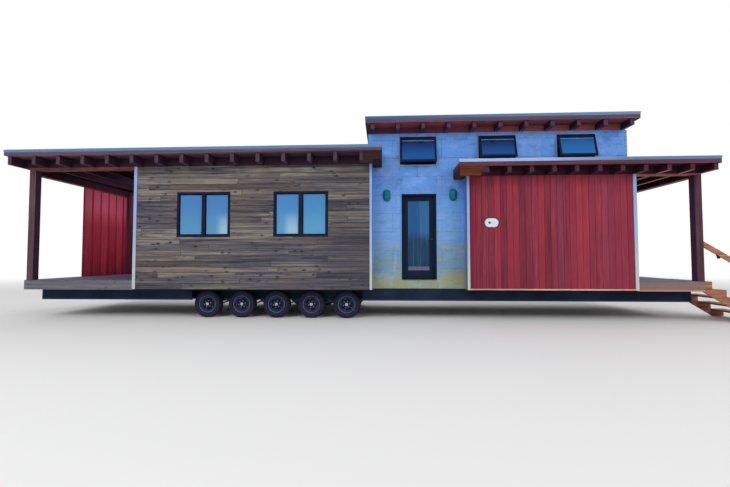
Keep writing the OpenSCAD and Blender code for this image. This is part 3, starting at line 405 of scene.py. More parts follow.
def shell(name, outside):
    """Wall core: what shows between the boards outside, and pale panelling with grooves inside."""
    f = Finish(name, Roughness=0.7)
    groove = f.rise(f.z.of("PINGPONG", 0.07), 0.001, 0.004)
    grain = f.noise((1.0, 1.0, 60.0))
    panel = f.mix(1 - groove, f.mix(grain * 0.35, (214, 196, 168), (170, 140, 105)), (96, 78, 58))
    outer = f.mix(f.noise(40.0, 3.0) * 0.5, outside, dimmed(outside, 0.6))
    f.colour = f.mix(inside_mask(f), outer, panel)
    f.bump(groove + grain * 0.1, 0.2, 0.002)
    return f.done()


def zinc_wall():
    """Zinc sheets with a painted reflection of the open sky: blue above, paler lower down, with olive water stains
    near the foot.
    """
    f = Finish("zinc_wall_sheet", Metallic=0.3)
    cloud, smear = f.noise((1.1, 1.1, 2.6), 5.0, 0.6), f.noise((5.0, 5.0, 0.9), 4.0, 0.6)
    mottle = f.noise((7.0, 7.0, 10.0), 5.0, 0.7)
    level = f.z + cloud * 0.9 - 0.45
    f.colour = f.mix(f.rise(level, 0.85, 1.3), (154, 162, 122), (120, 156, 186))
    # Painted sky reflection turns the grey zinc blue higher up
    f.wash(f.rise(level, 1.3, 2.2), (110, 165, 232))
    f.wash(f.rise(level, 2.3, 3.4), (92, 149, 234))
    bands = f.rise(f.noise((0.9, 0.9, 5.5), 3.0), 0.52, 0.62)
    f.wash(bands * f.fall(f.z, 1.5, 2.4) * 0.5, (158, 158, 98))
    f.wash(f.rise(smear, 0.56, 0.70) * f.fall(f.z, 0.9, 2.0) * 0.6, (156, 190, 236))
    f.wash(f.mark("tone") * f.rise(f.z, 0.9, 1.8) * 0.34, (134, 168, 228))
    f.wash(f.rise(f.noise((2.4, 2.4, 12.0), 4.0, 0.7), 0.48, 0.68) * 0.3, (80, 128, 200))
    f.wash(f.rise(f.noise((2.2, 2.2, 2.8), 4.0, 0.7), 0.5, 0.7) * 0.4, (142, 178, 246))
    f.wash(f.rise(mottle, 0.5, 0.75) * 0.4, (70, 110, 178))
    patch = f.rise(f.noise((3.2, 3.2, 4.4), 4.0, 0.7), 0.52, 0.70) * f.rise(f.z, 2.9, 3.4)
    f.wash(patch * 0.5, (58, 100, 180))
    # Painted shade on the return sheets in the recess
    f.wash(f.rise(f.y.of("ABSOLUTE"), HALF_MID + 0.06, HALF - 0.08) * 0.6, (44, 74, 124))
    seam = f.mark("rim") * f.rise(smear + mottle, 0.85, 1.15)
    f.wash(seam * (f.rise(f.z, 3.0, 3.6) * 0.25 + 0.3), (56, 88, 148))
    f.bump(cloud * 0.5 + mottle * 0.5, 0.1, 0.003)
    return f.done(Roughness=cloud * 0.2 + 0.44)


def sky_panes():
    """Panes with the sky painted in as a reflection: deeper at the head, paler low down, darker in the upper windows.
    """
    f = Finish("window_glass_sky", Roughness=0.04, Alpha=0.95, Specular_IOR_Level=0.15)
    across = f.rise(f.x, X_B - 4.0, X_B - 1.5)
    head, foot = f.mix(across, (68, 126, 196), (68, 134, 198)), f.mix(across, (86, 146, 197), (87, 157, 207))
    f.colour = f.mix(f.rise(f.z + f.noise((1.4, 1.4, 1.1), 2.0) * 0.3, 2.2, 3.1), foot, head)
    pane = WINDOWS[0] + WIN_W / 2 - WIN_EDGE
    # Pale painted reflections low in the two lower windows
    pale_reflection = f.spot(pane - 0.34, pane + 0.25, WIN_Z - 0.35, WIN_Z + 0.66, 0.24)
    pale_reflection = pale_reflection.of("MAXIMUM", f.spot(WINDOWS[1] - 0.46, WINDOWS[1] + 0.04, WIN_Z - 0.35, WIN_Z + 0.66, 0.2))
    f.wash(pale_reflection * f.fall(f.z, WIN_Z, WIN_Z + 0.8) * 0.8, (164, 200, 226))
    high = f.mix(f.rise(f.z, 4.0, 4.45), (18, 78, 155), (6, 28, 88))
    right = f.mix(f.rise(f.z, 4.0, 4.5), (32, 106, 180), (22, 86, 158))
    last = AWNINGS[2][0] - 0.6
    f.wash(f.rise(f.z, 3.4, 3.5), f.mix(f.rise(f.x, last, last + 0.1), high, right))
    return f.done()


def door_pane():
    """Glass of the door with painted reflections: sky above, dim ground below; faint upright streaks and a pale foot.
    """
    f = Finish("door_glass_sky", Roughness=0.05, Alpha=0.95, Specular_IOR_Level=0.15)
    cloud, streak = f.noise((3.0, 3.0, 1.6), 3.0), f.noise((18.0, 3.0, 0.6), 3.0)
    # Painted reflection of the sky above and of the dim ground below
    f.colour = f.mix(f.rise(f.z + cloud * 0.25, 2.0, 2.35), (26, 62, 98), (34, 86, 146))
    f.wash(f.rise(streak, 0.5, 0.7) * 0.35, (74, 112, 150))
    # Paler painted sky reflection on the right half
    f.wash(f.rise(f.x, DOOR_X, DOOR_X + 0.05) * f.rise(f.z, 1.9, 2.2) * 0.3, (66, 130, 190))
    f.wash(f.fall(f.z, 1.26, 1.30) * 0.8, (112, 110, 140))
    return f.done()


def tyre_and_rim():
    """Dusty rubber outside the rim's radius, satin blue-black steel inside it, bright hub."""
    f = Finish("tyre_and_rim")
    pitch = WHEEL_XS[1] - WHEEL_XS[0]
    across = (f.x - (WHEEL_XS[0] - pitch / 2)).of("FLOORED_MODULO", pitch) - pitch / 2
    up = f.z - WHEEL_Z
    radius = (across * across + up * up).of("SQRT")
    rubber, tread = f.rise(radius, RIM_R - 0.001, RIM_R + 0.001), f.rise(radius, 0.318, 0.326)
    hub = f.fall(radius, 0.036, 0.040)
    dirt = f.noise(14.0, 5.0, 0.65)
    sipes = f.rise((up.of("ARCTAN2", across) + f.y * 0.9).of("PINGPONG", 0.035), 0.004, 0.009)
    f.colour = f.mix(f.rise(dirt, 0.35, 0.8) * 0.5, (32, 37, 62), (74, 66, 82))
    f.wash(f.rise(radius, 0.26, 0.31) * 0.45, (17, 18, 32))
    f.wash(tread * (1 - sipes) * 0.8, (14, 13, 20))
    black = f.colour
    f.colour = f.mix(f.rise(radius, 0.120, 0.135), (12, 20, 46), (54, 70, 116))
    f.wash(f.rise(dirt, 0.45, 0.85) * 0.4, (92, 106, 142))
    f.wash(f.rise(radius, RIM_R - 0.018, RIM_R - 0.010) * 0.6, (112, 124, 156))
    f.wash(hub, (205, 206, 212))
    f.wash(rubber, black)
    ribs = rubber * (1 - tread) * f.rise(radius.of("PINGPONG", 0.011), 0.001, 0.003) * 0.5
    f.bump(ribs + tread * sipes + dirt * 0.05, 0.5, 0.003)
    return f.done(Roughness=rubber * 0.45 + dirt * 0.1 + 0.34, Metallic=hub * 0.7)


def roof_metal():
    """Steel sheets with brighter ribs. Their folded edges are darker on the left and over the door."""
    f = Finish("roof_sheet", Metallic=0.2)
    cloud = f.noise((0.8, 3.0, 1.0), 5.0, 0.6)
    right = f.mix(f.rise(f.x, X_C + 1.0, X_D), (150, 180, 230), (92, 122, 164))
    f.colour = f.mix(f.rise(f.x, X_B + 0.3, X_C - 0.3), (92, 126, 172), right)
    f.wash(f.rise(f.z, 4.3, 4.6), f.mix(f.rise(f.x, X_UP_L, X_UP_R), (62, 98, 146), (96, 134, 178)))
    f.wash(f.rise(f.normal(2), 0.3, 0.6), f.mix(f.rise(cloud, 0.3, 0.75), (116, 148, 192), (92, 124, 168)))
    f.wash(f.rise(f.mark("tone"), 0.5, 1.0) * 0.45, (158, 186, 220))
    f.bump(f.noise(90.0, 2.0), 0.05, 0.001)
    return f.done(Roughness=cloud * 0.2 + 0.36)


def floor_finish():
    """Floorboards above, black barrier sheet below."""
    f = Finish("floorboards_and_barrier")
    wrinkle = f.noise(3.0, 5.0, 0.6)
    f.colour = f.mix(f.noise((0.8, 40.0, 40.0)), (172, 128, 84), (128, 86, 52))
    f.wash(f.fall(f.y.of("PINGPONG", 0.07), 0.001, 0.003), (60, 40, 26))
    f.wash(f.fall(f.normal(2), 0.2, 0.8), f.mix(wrinkle * 0.5, (34, 34, 38), (64, 62, 64)))
    f.bump(wrinkle, 0.2, 0.006)
    return f.done(Roughness=wrinkle * 0.2 + 0.5)


def fitting(name, colour, rough=0.5, metallic=0.0):
    """A small fitting's finish: one colour broken by faint wear."""
    f = Finish(name, Metallic=metallic)
    wear = f.noise(25.0, 4.0, 0.6)
    f.colour = f.mix(wear * 0.35, colour, dimmed(colour, 0.7))
    f.bump(wear, 0.04, 0.001)
    return f.done(Roughness=wear * 0.15 + rough)


def enamel():
    f = Finish("green_enamel", Coat_Weight=0.1)
    pool = f.noise((18.0, 18.0, 8.0), 4.0, 0.6)
    f.colour = f.mix(f.rise(pool, 0.35, 0.7), (0, 98, 116), (0, 134, 158))
    f.bump(pool, 0.08, 0.002)
    return f.done(Roughness=pool * 0.2 + 0.28)


SIDING, RED_BOARDS, PORCH_RED, DECKING = weathered_siding(), wall_red(), porch_red(), decking()
BEAMS = porch_timber("stained_beams", ((62, 32, 40), (112, 66, 68), (146, 96, 88)), 0, (14, 4, 27), (172, 116, 114))
POSTS = porch_timber("stained_posts", ((50, 34, 44), (80, 60, 70), (104, 82, 86)), 2, (58, 34, 62), (66, 28, 56))
RAFTERS, SOFFIT, FASCIA = (roof_timber(kind) for kind in ("rafters", "soffit", "fascia"))
EAR_ORANGE = Timber("fresh_ear_boards", ((52, 24, 9), (82, 43, 18), (112, 66, 38)), 0, knots=0.4).sawn()
EAR_BROWN = Timber("brown_ear_boards", ((25, 11, 17), (43, 23, 26), (62, 36, 34)), 0).sawn()
STAIRS = Timber("stair_wood", ((108, 70, 56), (148, 104, 84), (186, 148, 124)), 0, boards=False, knots=0.6).sawn()
SCREEN_CORE = Timber("screen_core", ((82, 16, 33), (105, 26, 46), (126, 38, 58)), 2, boards=False).sawn()
FOOT_STRIP = Timber("foot_strip", ((150, 108, 104), (200, 156, 148), (222, 184, 170)), 0, boards=False).sawn()
SHEET, ROOF, STEEL, FLOORING, WHEEL = zinc_wall(), roof_metal(), frame_paint(), floor_finish(), tyre_and_rim()
GLASS, DOOR_GLASS, GREEN = sky_panes(), door_pane(), enamel()
NAVY = painted("window_navy", (15, 28, 58), dust=0.04, gloss=0.08)
DOOR_NAVY = painted("door_navy", (18, 34, 60), dust=0.08, dust_colour=(70, 86, 104), low=1.3, gloss=0.08)
CORNER = painted("corner_trim", (140, 172, 236), rough=0.5, low=1.2, foot=(178, 196, 200), recess_shadow=(44, 74, 128))
TRIM = painted("opening_trim", (128, 160, 206))
FLASHING = painted("roof_flashing", (148, 184, 232), rough=0.45)
HATCH_WHITE = painted("hatch_white", (215, 225, 246), rough=0.4, dust=0.05)
CORE_GREY = shell("left_wall_core", (40, 36, 42))
CORE_RED = shell("red_wall_core", (54, 16, 28))
CORE_METAL = shell("metal_wall_core", (54, 84, 136))
SPACER = fitting("pane_spacers", (128, 176, 222), 0.4)
BRIGHT = fitting("bright_steel", (188, 190, 196), 0.3, 0.8)
NUTS = fitting("wheel_nut_steel", (168, 178, 206), 0.4, 0.5)
DRUM = fitting("brake_iron", (24, 26, 38), 0.75)
ZINC = fitting("zinc_fixings", (120, 140, 172), 0.5, 0.4)
NAIL = fitting("nail_heads", (58, 54, 62), 0.6, 0.3)
RED_FIX = fitting("red_screw_heads", (96, 34, 50))
RUBBER = fitting("black_rubber", (20, 20, 28), 0.7)
LOCK_GREY = fitting("lock_grey", (78, 92, 110), 0.4, 0.4)
PULL_GREY = fitting("pull_grey", (176, 186, 204))
HANDLE = fitting("handle_steel", (52, 60, 86), 0.45, 0.3)

# Every other node is a wheel
NODE_FINISHES = (
    (STEEL, "frame axle_beams springs"), (FLOORING, "floor"), (CORNER, "corner_strips"),
    (CORE_GREY, "left_front_wall left_back_wall left_end_wall left_return_walls"),
    (CORE_METAL, "front_wall_left_of_door front_wall_right_of_door front_wall_over_door"),
    (CORE_METAL, "mid_back_wall upper_side_walls upper_end_walls"),
    (CORE_RED, "right_front_wall right_back_wall right_end_wall right_return_walls"),
    (FOOT_STRIP, "bottom_strips"), (RAFTERS, "left_rafters right_rafters upper_rafters"), (FASCIA, "roof_boards"),
    (ROOF, "roof_sheets"), (BEAMS, "porch_beams"), (POSTS, "posts"), (DECKING, "porch_floors"),
    (SCREEN_CORE, "privacy_screen"), (STAIRS, "stringers treads handrail"), (BRIGHT, "door_hinges"),
    (NAVY, "rail_bracket window_frames awning_frames awning_sashes"), (DOOR_NAVY, "door_frame door end_doors"),
    (DOOR_GLASS, "door_glass"), (HANDLE, "door_handle"), (GLASS, "window_glass"), (TRIM, "opening_trims"),
    (HATCH_WHITE, "hatch"), (GREEN, "wall_lights"),
)


def dress_nodes():
    finishes = {name: finish for finish, names in NODE_FINISHES for name in names.split()}
    for name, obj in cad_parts.items():
        finish = finishes.get(name, WHEEL)
        if not obj.material_slots:
            obj.data.materials.append(finish)
        for slot in obj.material_slots:
            slot.material = finish


def put(name, data):
    """An object round a mesh, a camera or a lamp, put into the scene."""
    obj = bpy.data.objects.new(name, data)
    bpy.context.scene.collection.objects.link(obj)
    return obj


def circle(radius, sides, along=0.0):
    angles = (2 * pi * i / sides for i in range(sides))
    return [Vector((radius * cos(a), radius * sin(a), along)) for a in angles]


class Pieces:
    """Many small solids gathered into one mesh. Each has a tone, and its edges are marked 1 on the rim."""

    def __init__(self):
        self.points, self.faces, self.tones, self.rims = [], [], [], []

    def rings(self, rings, tone=0.5, caps=True, rims=None):
        """Solid through closed rings of points, all of one length, with a rim mark for each ring."""
        n, base = len(rings[0]), len(self.points)
        for ring, rim in zip(rings, rims or [0.0] * len(rings)):
            self.points += [tuple(p) for p in ring]
            self.rims += [rim] * n
        self.tones += [tone] * (n * len(rings))
        for start in range(base, base + n * (len(rings) - 1), n):
            self.faces += [[start + i, start + (i + 1) % n, start + n + (i + 1) % n, start + n + i] for i in range(n)]
        if caps:
            last = base + (len(rings) - 1) * n
            self.faces += [list(range(base, base + n))[::-1], list(range(last, last + n))]

    def board(self, place, rect, depth, tone=0.5, chamfer=0.002, back=0.002, soft=0.010):
        """Board on a wall, its front edges eased and marked; place(u, out, v) gives a point."""
        u0, u1, v0, v1 = rect
        room = min(u1 - u0, v1 - v0) / 2
        c = min(chamfer, room / 2)
        inner = min(c + soft, room * 0.9)
        steps = ((-back, 0, 1.0), (depth - c, 0, 1.0), (depth, c, 1.0), (depth, inner, 0.0))
        rings = [[place(u0 + s, out, v0 + s), place(u1 - s, out, v0 + s), place(u1 - s, out, v1 - s),
                  place(u0 + s, out, v1 - s)] for out, s, _ in steps]
        self.rings(rings, tone, rims=[rim for _, _, rim in steps])

    def lathe(self, centre, axis, profile, sides, caps=True):
        """Profile of (radius, distance along the axis) turned about the axis."""
        turn = Vector(axis).to_track_quat("Z", "Y").to_matrix()
        self.rings([[Vector(centre) + turn @ p for p in circle(radius, sides, along)] for radius, along in profile],
                   caps=caps)

    def screw(self, at, axis, radius, high):
        self.lathe(at, axis, [(radius, -0.001), (radius, high * 0.4), (radius * 0.6, high)], 8)

    def drive(self, place, u, out, v, radius, high):
        """A screw or nail square into a face."""
        head = Vector(place(u, out, v))
        self.screw(head, Vector(place(u, out + 1, v)) - head, radius, high)

    def tube(self, path, radius, closed=False):
        """Round bar along a path."""
        first, last = (path[-1], path[0]) if closed else (path[0], path[-1])
        rings = []
        for before, p, after in zip([first, *path], path, [*path[1:], last]):
            turn = (Vector(after) - Vector(before)).to_track_quat("Z", "Y").to_matrix()
            rings.append([Vector(p) + turn @ q for q in circle(radius, 8)])
        self.rings(rings + rings[:1] if closed else rings, caps=not closed)

    def make(self, name, finish, slot, body="house", smooth=False):
        mesh = bpy.data.meshes.new(name)
        mesh.from_pydata(self.points, [], self.faces)
        for mark, values in (("tone", self.tones), ("rim", self.rims)):
            mesh.attributes.new(mark, "FLOAT", "POINT").data.foreach_set("value", values)
        shape = bmesh.new()
        shape.from_mesh(mesh)
        bmesh.ops.recalc_face_normals(shape, faces=shape.faces)
        shape.to_mesh(mesh)
        shape.free()
        if smooth:
            mesh.shade_smooth()
            mesh.set_sharp_from_angle(angle=radians(35))
        obj = put(name, mesh)
        mesh.materials.append(finish)
        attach(obj, body)


def cut_out(rects, holes):
    """What is left of the rectangles (u0, u1, v0, v1) round the holes."""
    for h0, h1, k0, k1 in holes:
        left = []
        for u0, u1, v0, v1 in rects:
            a0, a1, b0, b1 = max(u0, h0), min(u1, h1), max(v0, k0), min(v1, k1)
            if a0 < a1 and b0 < b1:
                left += [(u0, a0, v0, v1), (a1, u1, v0, v1), (a0, a1, v0, b0), (a0, a1, b1, v1)]
            else:
                left.append((u0, u1, v0, v1))
        rects = left
    return [r for r in rects if r[1] - r[0] > 0.006 and r[3] - r[2] > 0.006]


def near_hole(u, v, holes, margin=0.012):
    """Whether a nail would stand in a hole or on its edge."""
    return any(h0 - margin < u < h1 + margin and k0 - margin < v < k1 + margin for h0, h1, k0, k1 in holes)


def rows(low, high, pitch):
    """Starts and ends of the rows between two levels, the last one cut."""
    at = low
    while at < high - 0.004:
        yield at, min(at + pitch, high)
        at += pitch


def lengths_along(start, end, lengths):
    """Starts and ends of the boards in one row, with butt joints at chance lengths."""
    if not lengths:
        yield start, end
        return
    at = start - chance.uniform(0.0, lengths[1]) * 0.6
    while at < end:
        stop = at + chance.uniform(*lengths)
        if end - stop < 0.35:
            stop = end
        if stop - start > 0.01:
            yield max(at, start), stop
        at = stop


def lay_boards(pieces, place, rect, holes, pitch, gap, depth, lengths=None, upright=False, nails=None, chamfer=0.002,
               soft=0.010):
    """Rows of boards over a rectangle, parted round the holes, with two nails in each board at each stud."""
    u0, u1, v0, v1 = rect
    low, high, start, end = (u0, u1, v0, v1) if upright else (v0, v1, u0, u1)
    for row, top in rows(low, high, pitch):
        top -= gap
        for a, b in lengths_along(start, end, lengths):
            tone = chance.random()
            part = (row, top, a, b - gap / 2) if upright else (a, b - gap / 2, row, top)
            for r in cut_out([part], holes):
                pieces.board(place, r, depth, tone, chamfer, soft=soft)
        at = start + 0.04
        while nails and top - row >= 0.05 and at < end - 0.02:
            for level in (row + 0.025, top - 0.025):
                u, v = (level, at) if upright else (at, level)
                if not near_hole(u, v, holes):
                    nails.drive(place, u, depth, v, NAIL_R, 0.0012)
            at += STUDS


def face(axis, at, way):
    """A face across X, Y or Z (0, 1, 2): u and v run along the other two, and out goes to its outside."""
    def place(u, out, v):
        point = [u, v]
        point.insert(axis, at + way * out)
        return tuple(point)
    return place


def long_faces(half):
    return face(1, -half, -1), face(1, half, 1)


def clad(x0, x1, foot, top, end_face, front_holes, back_holes, **laid):
    """Boards and their nails on the long sides and the outer end of a low volume."""
    boards, nails = Pieces(), Pieces()
    front, back = long_faces(HALF)
    long_side = (x0 + TRIM_IN, x1 - TRIM_IN, foot, top)
    end = (TRIM_IN - HALF, HALF - TRIM_IN, DECK_Z + 0.006, top)
    door = (-END_DOOR_HALF, END_DOOR_HALF, FLOOR_Z - 0.1, DOOR_TOP)
    for place, rect, holes in ((front, long_side, front_holes), (back, long_side, back_holes),
                               (end_face, end, [door])):
        lay_boards(boards, place, rect, holes, gap=0.003, depth=0.009, nails=nails, **laid)
    return boards, nails


def siding():
    """Horizontal weathered boards round the left volume."""
    w, h = WIN_W / 2 + 0.010, 0.010
    holes = [(x - w, x + w, WIN_Z - h, WIN_Z + WIN_H + h) for x in WINDOWS]
    boards, nails = clad(X_A, X_B, CLAD_Z, LEFT_TOP, face(0, X_A, -1), holes, holes, pitch=SIDING_PITCH,
                         lengths=(1.5, 4.4), soft=0.009)
    boards.make("siding_boards", SIDING, "weathered_boards")
    nails.make("siding_nails", NAIL, "hinge_steel")


def red_cladding():
    """Upright red boards round the right volume, above a pale foot strip on the long sides."""
    w, h = HATCH_W / 2 - 0.03, HATCH_H / 2 - 0.03
    hatch = (HATCH_X - w, HATCH_X + w, HATCH_Z - h, HATCH_Z + h)
    boards, nails = clad(X_C, X_D, CLAD_Z + 0.032, RIGHT_TOP, face(0, X_D, 1), [hatch], [], pitch=RED_PITCH,
                         upright=True, chamfer=0.003, soft=0.007)
    boards.make("red_wall_boards", RED_BOARDS, "red_boards")
    nails.make("red_wall_nails", RED_FIX, "red_boards")


def screen_boards():
    """Wide red boards on both faces of the porch screens, with dark gaps between them."""
    boards = Pieces()
    lo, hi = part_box("privacy_screen")
    end_rect = (lo.y, HALF - POST_W, DECK_Z + 0.006, hi.z - 0.105)
    back_rect = (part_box("posts")[0].x + POST_W, X_A - TRIM_OUT, DECK_Z + 0.006, hi.z)
    for place, rect in ((face(0, lo.x + SCREEN_T, 1), end_rect), (face(0, lo.x, -1), end_rect),
                        (face(1, hi.y - SCREEN_T, -1), back_rect), (face(1, hi.y, 1), back_rect)):
        lay_boards(boards, place, rect, [], SCREEN_PITCH, gap=0.060, depth=0.008, upright=True, chamfer=0.003,
                   soft=0.02)
    boards.make("porch_screen_boards", PORCH_RED, "red_boards")


def metal_holes(side):
    """Openings in the metal walls with their trims, and the parts that the timber volumes hide."""
    trim, half = 0.014, AWNING_W / 2
    holes = [(x - half - trim, x + half + trim, AWNING_TOP - h - 0.030, AWNING_TOP + trim) for x, h in AWNINGS]
    if side < 0:
        holes.append((DOOR_LO.x - trim, DOOR_HI.x + trim, FLOOR_Z, DOOR_TOP + trim))
    return holes + [(X_UP_L - 1, X_B, 0, LEFT_TOP), (X_C, X_UP_R + 1, 0, RIGHT_TOP)]


def wall_sheets():
    """Zinc sheets in running bond with screws along their edges."""
    sheets, screws = Pieces(), Pieces()
    seams = [CLAD_Z] + [SHEET_ROW_Z + SHEET_ROW * k for k in range(8)] + [MID_TOP]
    gap, thick, edge = 0.002, 0.003, 0.02

    def sheet(place, rect):
        sheets.board(place, rect, thick, chance.random(), 0.001, soft=0.013)

    for side, place in zip((-1, 1), long_faces(HALF_MID)):
        holes = metal_holes(side)
        for k, (foot, head) in enumerate(zip(seams, seams[1:])):
            for u0, u1 in rows(X_UP_L - 0.61 * (k % 2), X_UP_R, SHEET_LONG):
                a = max(u0, X_UP_L)
                for rect in cut_out([(a, u1 - gap, foot, head - gap)], holes):
                    sheet(place, rect)
                for u in [a + edge + i * SHEET_SCREWS for i in range(5)]:
                    if u < u1 and not near_hole(u, foot + edge, holes):
                        screws.drive(place, u, thick, foot + edge, 0.005, 0.003)
    for x, way, level in ((X_UP_L, -1, LEFT_TOP), (X_UP_R, 1, RIGHT_TOP)):
        for v0, v1 in rows(level, MID_TOP, SHEET_ROW):
            for u0, u1 in rows(-HALF_MID, HALF_MID, SHEET_LONG):
                sheet(face(0, x, way), (u0, u1 - gap, v0, v1 - gap))
    for x, way, top in ((X_B, 1, LEFT_TOP), (X_C, -1, RIGHT_TOP)):
        for y0, y1 in ((TRIM_IN - HALF, -HALF_MID), (HALF_MID, HALF - TRIM_IN)):
            for v0, v1 in zip(seams, [s for s in seams[1:] if s < top] + [top]):
                sheet(face(0, x, way), (y0, y1, v0, v1 - gap))
    sheets.make("wall_sheets", SHEET, "wall_sheet")
    screws.make("wall_sheet_screws", ZINC, "wall_sheet")


def wall_flashing():
    """Pale folded strips where the side roofs meet the upper walls."""
    strips = Pieces()
    for x0, x1, _, boards in ROOFS[:2]:
        z = boards + SHEET_UP
        for place in long_faces(HALF_MID):
            for u0, u1 in rows(max(x0, X_UP_L), min(x1, X_UP_R), 2.4):
                strips.board(place, (u0, u1 - 0.001, z, z + 0.07), 0.006, back=0.0)
    strips.make("wall_flashing", FLASHING, "roof_metal")


def roof_ribs():
    """Ribs and screws of the roof sheets. They stay below the folded metal edges."""
    ribs, screws = Pieces(), Pieces()

    def rib(x, y0, y1, z):
        shape = [(-0.028, 0.0), (-0.011, RIB_H), (0.011, RIB_H), (0.028, 0.0)]
        ribs.rings([[(x + a, y, z + b) for a, b in shape] for y in (y0, y1)], chance.uniform(0.7, 1.0))
        count = max(1, int((y1 - y0) / 0.6))
        for i in range(count):
            screws.screw((x, y0 + (i + 0.5) * (y1 - y0) / count, z + RIB_H), (0, 0, 1), 0.006, 0.001)

    for x0, x1, half, boards in ROOFS:
        z, half = boards + SHEET_UP, half - EDGE_IN
        for x, _ in rows(x0 + EDGE_IN + 0.06, x1 - EDGE_IN, RIB_PITCH):
            if z < MID_TOP and X_UP_L - 0.03 < x < X_UP_R + 0.03:
                rib(x, -half, -HALF_MID - 0.008, z)
                rib(x, HALF_MID + 0.008, half, z)
            else:
                rib(x, -half, half, z)
    ribs.make("roof_ribs", ROOF, "roof_metal")
    screws.make("roof_screws", ZINC, "roof_metal")


def soffits():
    """Boards laid on the rafters, seen from below between them."""
    boards = Pieces()
    house = [(X_UP_L, X_UP_R, -HALF_MID, HALF_MID)]
    edge = 0.006
    for (x0, x1, half, z), holes in zip(ROOFS, (house, house, [])):
        lay_boards(boards, face(2, z, -1), (x0 + edge, x1 - edge, edge - half, half - edge), holes, SOFFIT_PITCH,
                   gap=0.004, depth=0.006, lengths=(2.4, 4.8), chamfer=0.003)
    boards.make("soffit_boards", SOFFIT, "dark_timber")


def ear_facings():
    """Boards on the short arms of the side roofs: fresh orange wood on the right, brown on the left."""
    y = HALF + EAVE - 0.0147
    for name, finish, slot, x0, x1, z, drop, rise in (
            ("left_ear_facing", EAR_BROWN, "dark_timber", X_B - 0.184, X_B + EAR_OVER, LEFT_TOP, 0.0, 0.203),
            ("right_ear_facing", EAR_ORANGE, "orange_timber", X_C - EAR_OVER, X_C + 0.240, RIGHT_TOP, 0.083, 0.138)):
        boards = Pieces()
        for place in long_faces(y):
            boards.board(place, (x0, x1, z - drop, z + rise), 0.004, chance.random(), back=0.018)
        u0, u1 = max(x0, X_B + 0.022) if x0 < X_B else x0, min(x1, X_C - 0.022)
        for y0, y1 in ((-y, -HALF_MID - 0.004), (HALF_MID + 0.004, y)):
            boards.board(face(2, z, -1), (u0, u1, y0 + 0.02, y1 - 0.02), 0.004, chance.random(), back=0.001)
        boards.make(name, finish, slot)


def roof_edges():
    """Fascia boards round each roof, and the folded metal drip edge over their heads."""
    boards, drips, nails = Pieces(), Pieces(), Pieces()
    thick, wall = 0.004, HALF_MID + 0.004
    for (x0, x1, half, z), drop in zip(ROOFS, (0.0, 0.022, 0.022)):
        runs = [(place, x0, x1) for place in long_faces(half)]
        for x, way in ((x0, -1), (x1, 1)):
            arms = ((-half, -wall), (wall, half)) if X_UP_L < x < X_UP_R else ((-half, half),)
            runs += [(face(0, x, way), y0, y1) for y0, y1 in arms]
        for place, u0, u1 in runs:
            for a, b in rows(u0, u1, FASCIA_LONG):
                boards.board(place, (a, b - 0.001, z - drop, z + FASCIA_H), thick, chance.random(),
                             back=0.018 if drop else 0.0)
                for i in range(int((b - a) / FASCIA_NAILS) + 1):
                    u = min(a + 0.03 + i * FASCIA_NAILS, b - 0.02)
                    for v in (0.012, 0.055):
                        nails.drive(place, u, thick, z + v, NAIL_R, 0.001)
            for a, b in rows(u0, u1, DRIP_LONG):
                drips.board(place, (a, b, z + FASCIA_H, z + DRIP_TOP), 0.0055, chance.random() / 2, 0.001, 0.0, 0.004)
    boards.make("fascia_boards", FASCIA, "dark_timber")
    drips.make("drip_edges", ROOF, "roof_metal")
    nails.make("fascia_nails", NAIL, "hinge_steel")


def deck_boards():
    """Porch boards with open joints, screwed to each joist."""
    boards, screws = Pieces(), Pieces()
    thick = 0.005
    for x0, x1 in ((DECK_LO.x, X_A - 0.001), (X_D + 0.001, DECK_HI.x)):
        lay_boards(boards, face(2, DECK_Z, 1), (x0, x1, -HALF, HALF), [], DECK_PITCH, 0.005, thick)
        for row, top in rows(-HALF, HALF, DECK_PITCH):
            for x in [x0 + 0.019 + i * JOISTS for i in range(int((x1 - x0) / JOISTS) + 1)]:
                for y in (row + 0.025, top - 0.03):
                    screws.screw((x, y, DECK_Z + thick), (0, 0, 1), 0.004, 0.0008)
    boards.make("deck_boards", DECKING, "grey_timber")
    screws.make("deck_screws", ZINC, "hinge_steel")


def on_sash(x, side):
    """A face on an open awning sash, u across from its middle and v down from its head."""
    c, s = cos(AWNING_ANGLE), sin(AWNING_ANGLE)
    y, z = HALF_MID + 0.012, AWNING_TOP - 0.030
    return lambda u, out, v: (x + u, side * (y + out * c + v * s), z + out * s - v * c)


def glazing_strips():
    """Pale spacers round the panes of the timber walls, and a pale bead at the head of each awning pane that paints
    the highlight along it.
    """
    strips, bead_highlights = Pieces(), Pieces()
    wide, z0, z1 = 0.010, WIN_Z + WIN_EDGE, WIN_Z + WIN_H - WIN_EDGE
    middles = [x + s * WIN_W / 4 for x in WINDOWS for s in (-1, 1)]
    for place in long_faces(HALF - WIN_GLASS_IN):
        for middle in middles:
            x0, x1 = middle - (WIN_W / 4 - WIN_EDGE), middle + (WIN_W / 4 - WIN_EDGE)
            for rect in ((x0, x1, z1 - wide, z1), (x0, x1, z0, z0 + wide), (x0, x0 + wide, z0 + wide, z1 - wide),
                         (x1 - wide, x1, z0 + wide, z1 - wide)):
                strips.board(place, rect, 0.003, chamfer=0.001, back=0.001)
    half = AWNING_W / 2 - 0.060
    # Pale beads that paint the highlight at the head of each awning pane
    for side in (-1, 1):
        for x, _ in AWNINGS:
            bead_highlights.board(on_sash(x, side), (-half, half, 0.092, 0.103), 0.032, chamfer=0.001, back=-0.028)
    strips.make("pane_spacers", SPACER, "pale_trim")
    bead_highlights.make("awning_bead_highlights", SPACER, "pale_trim")


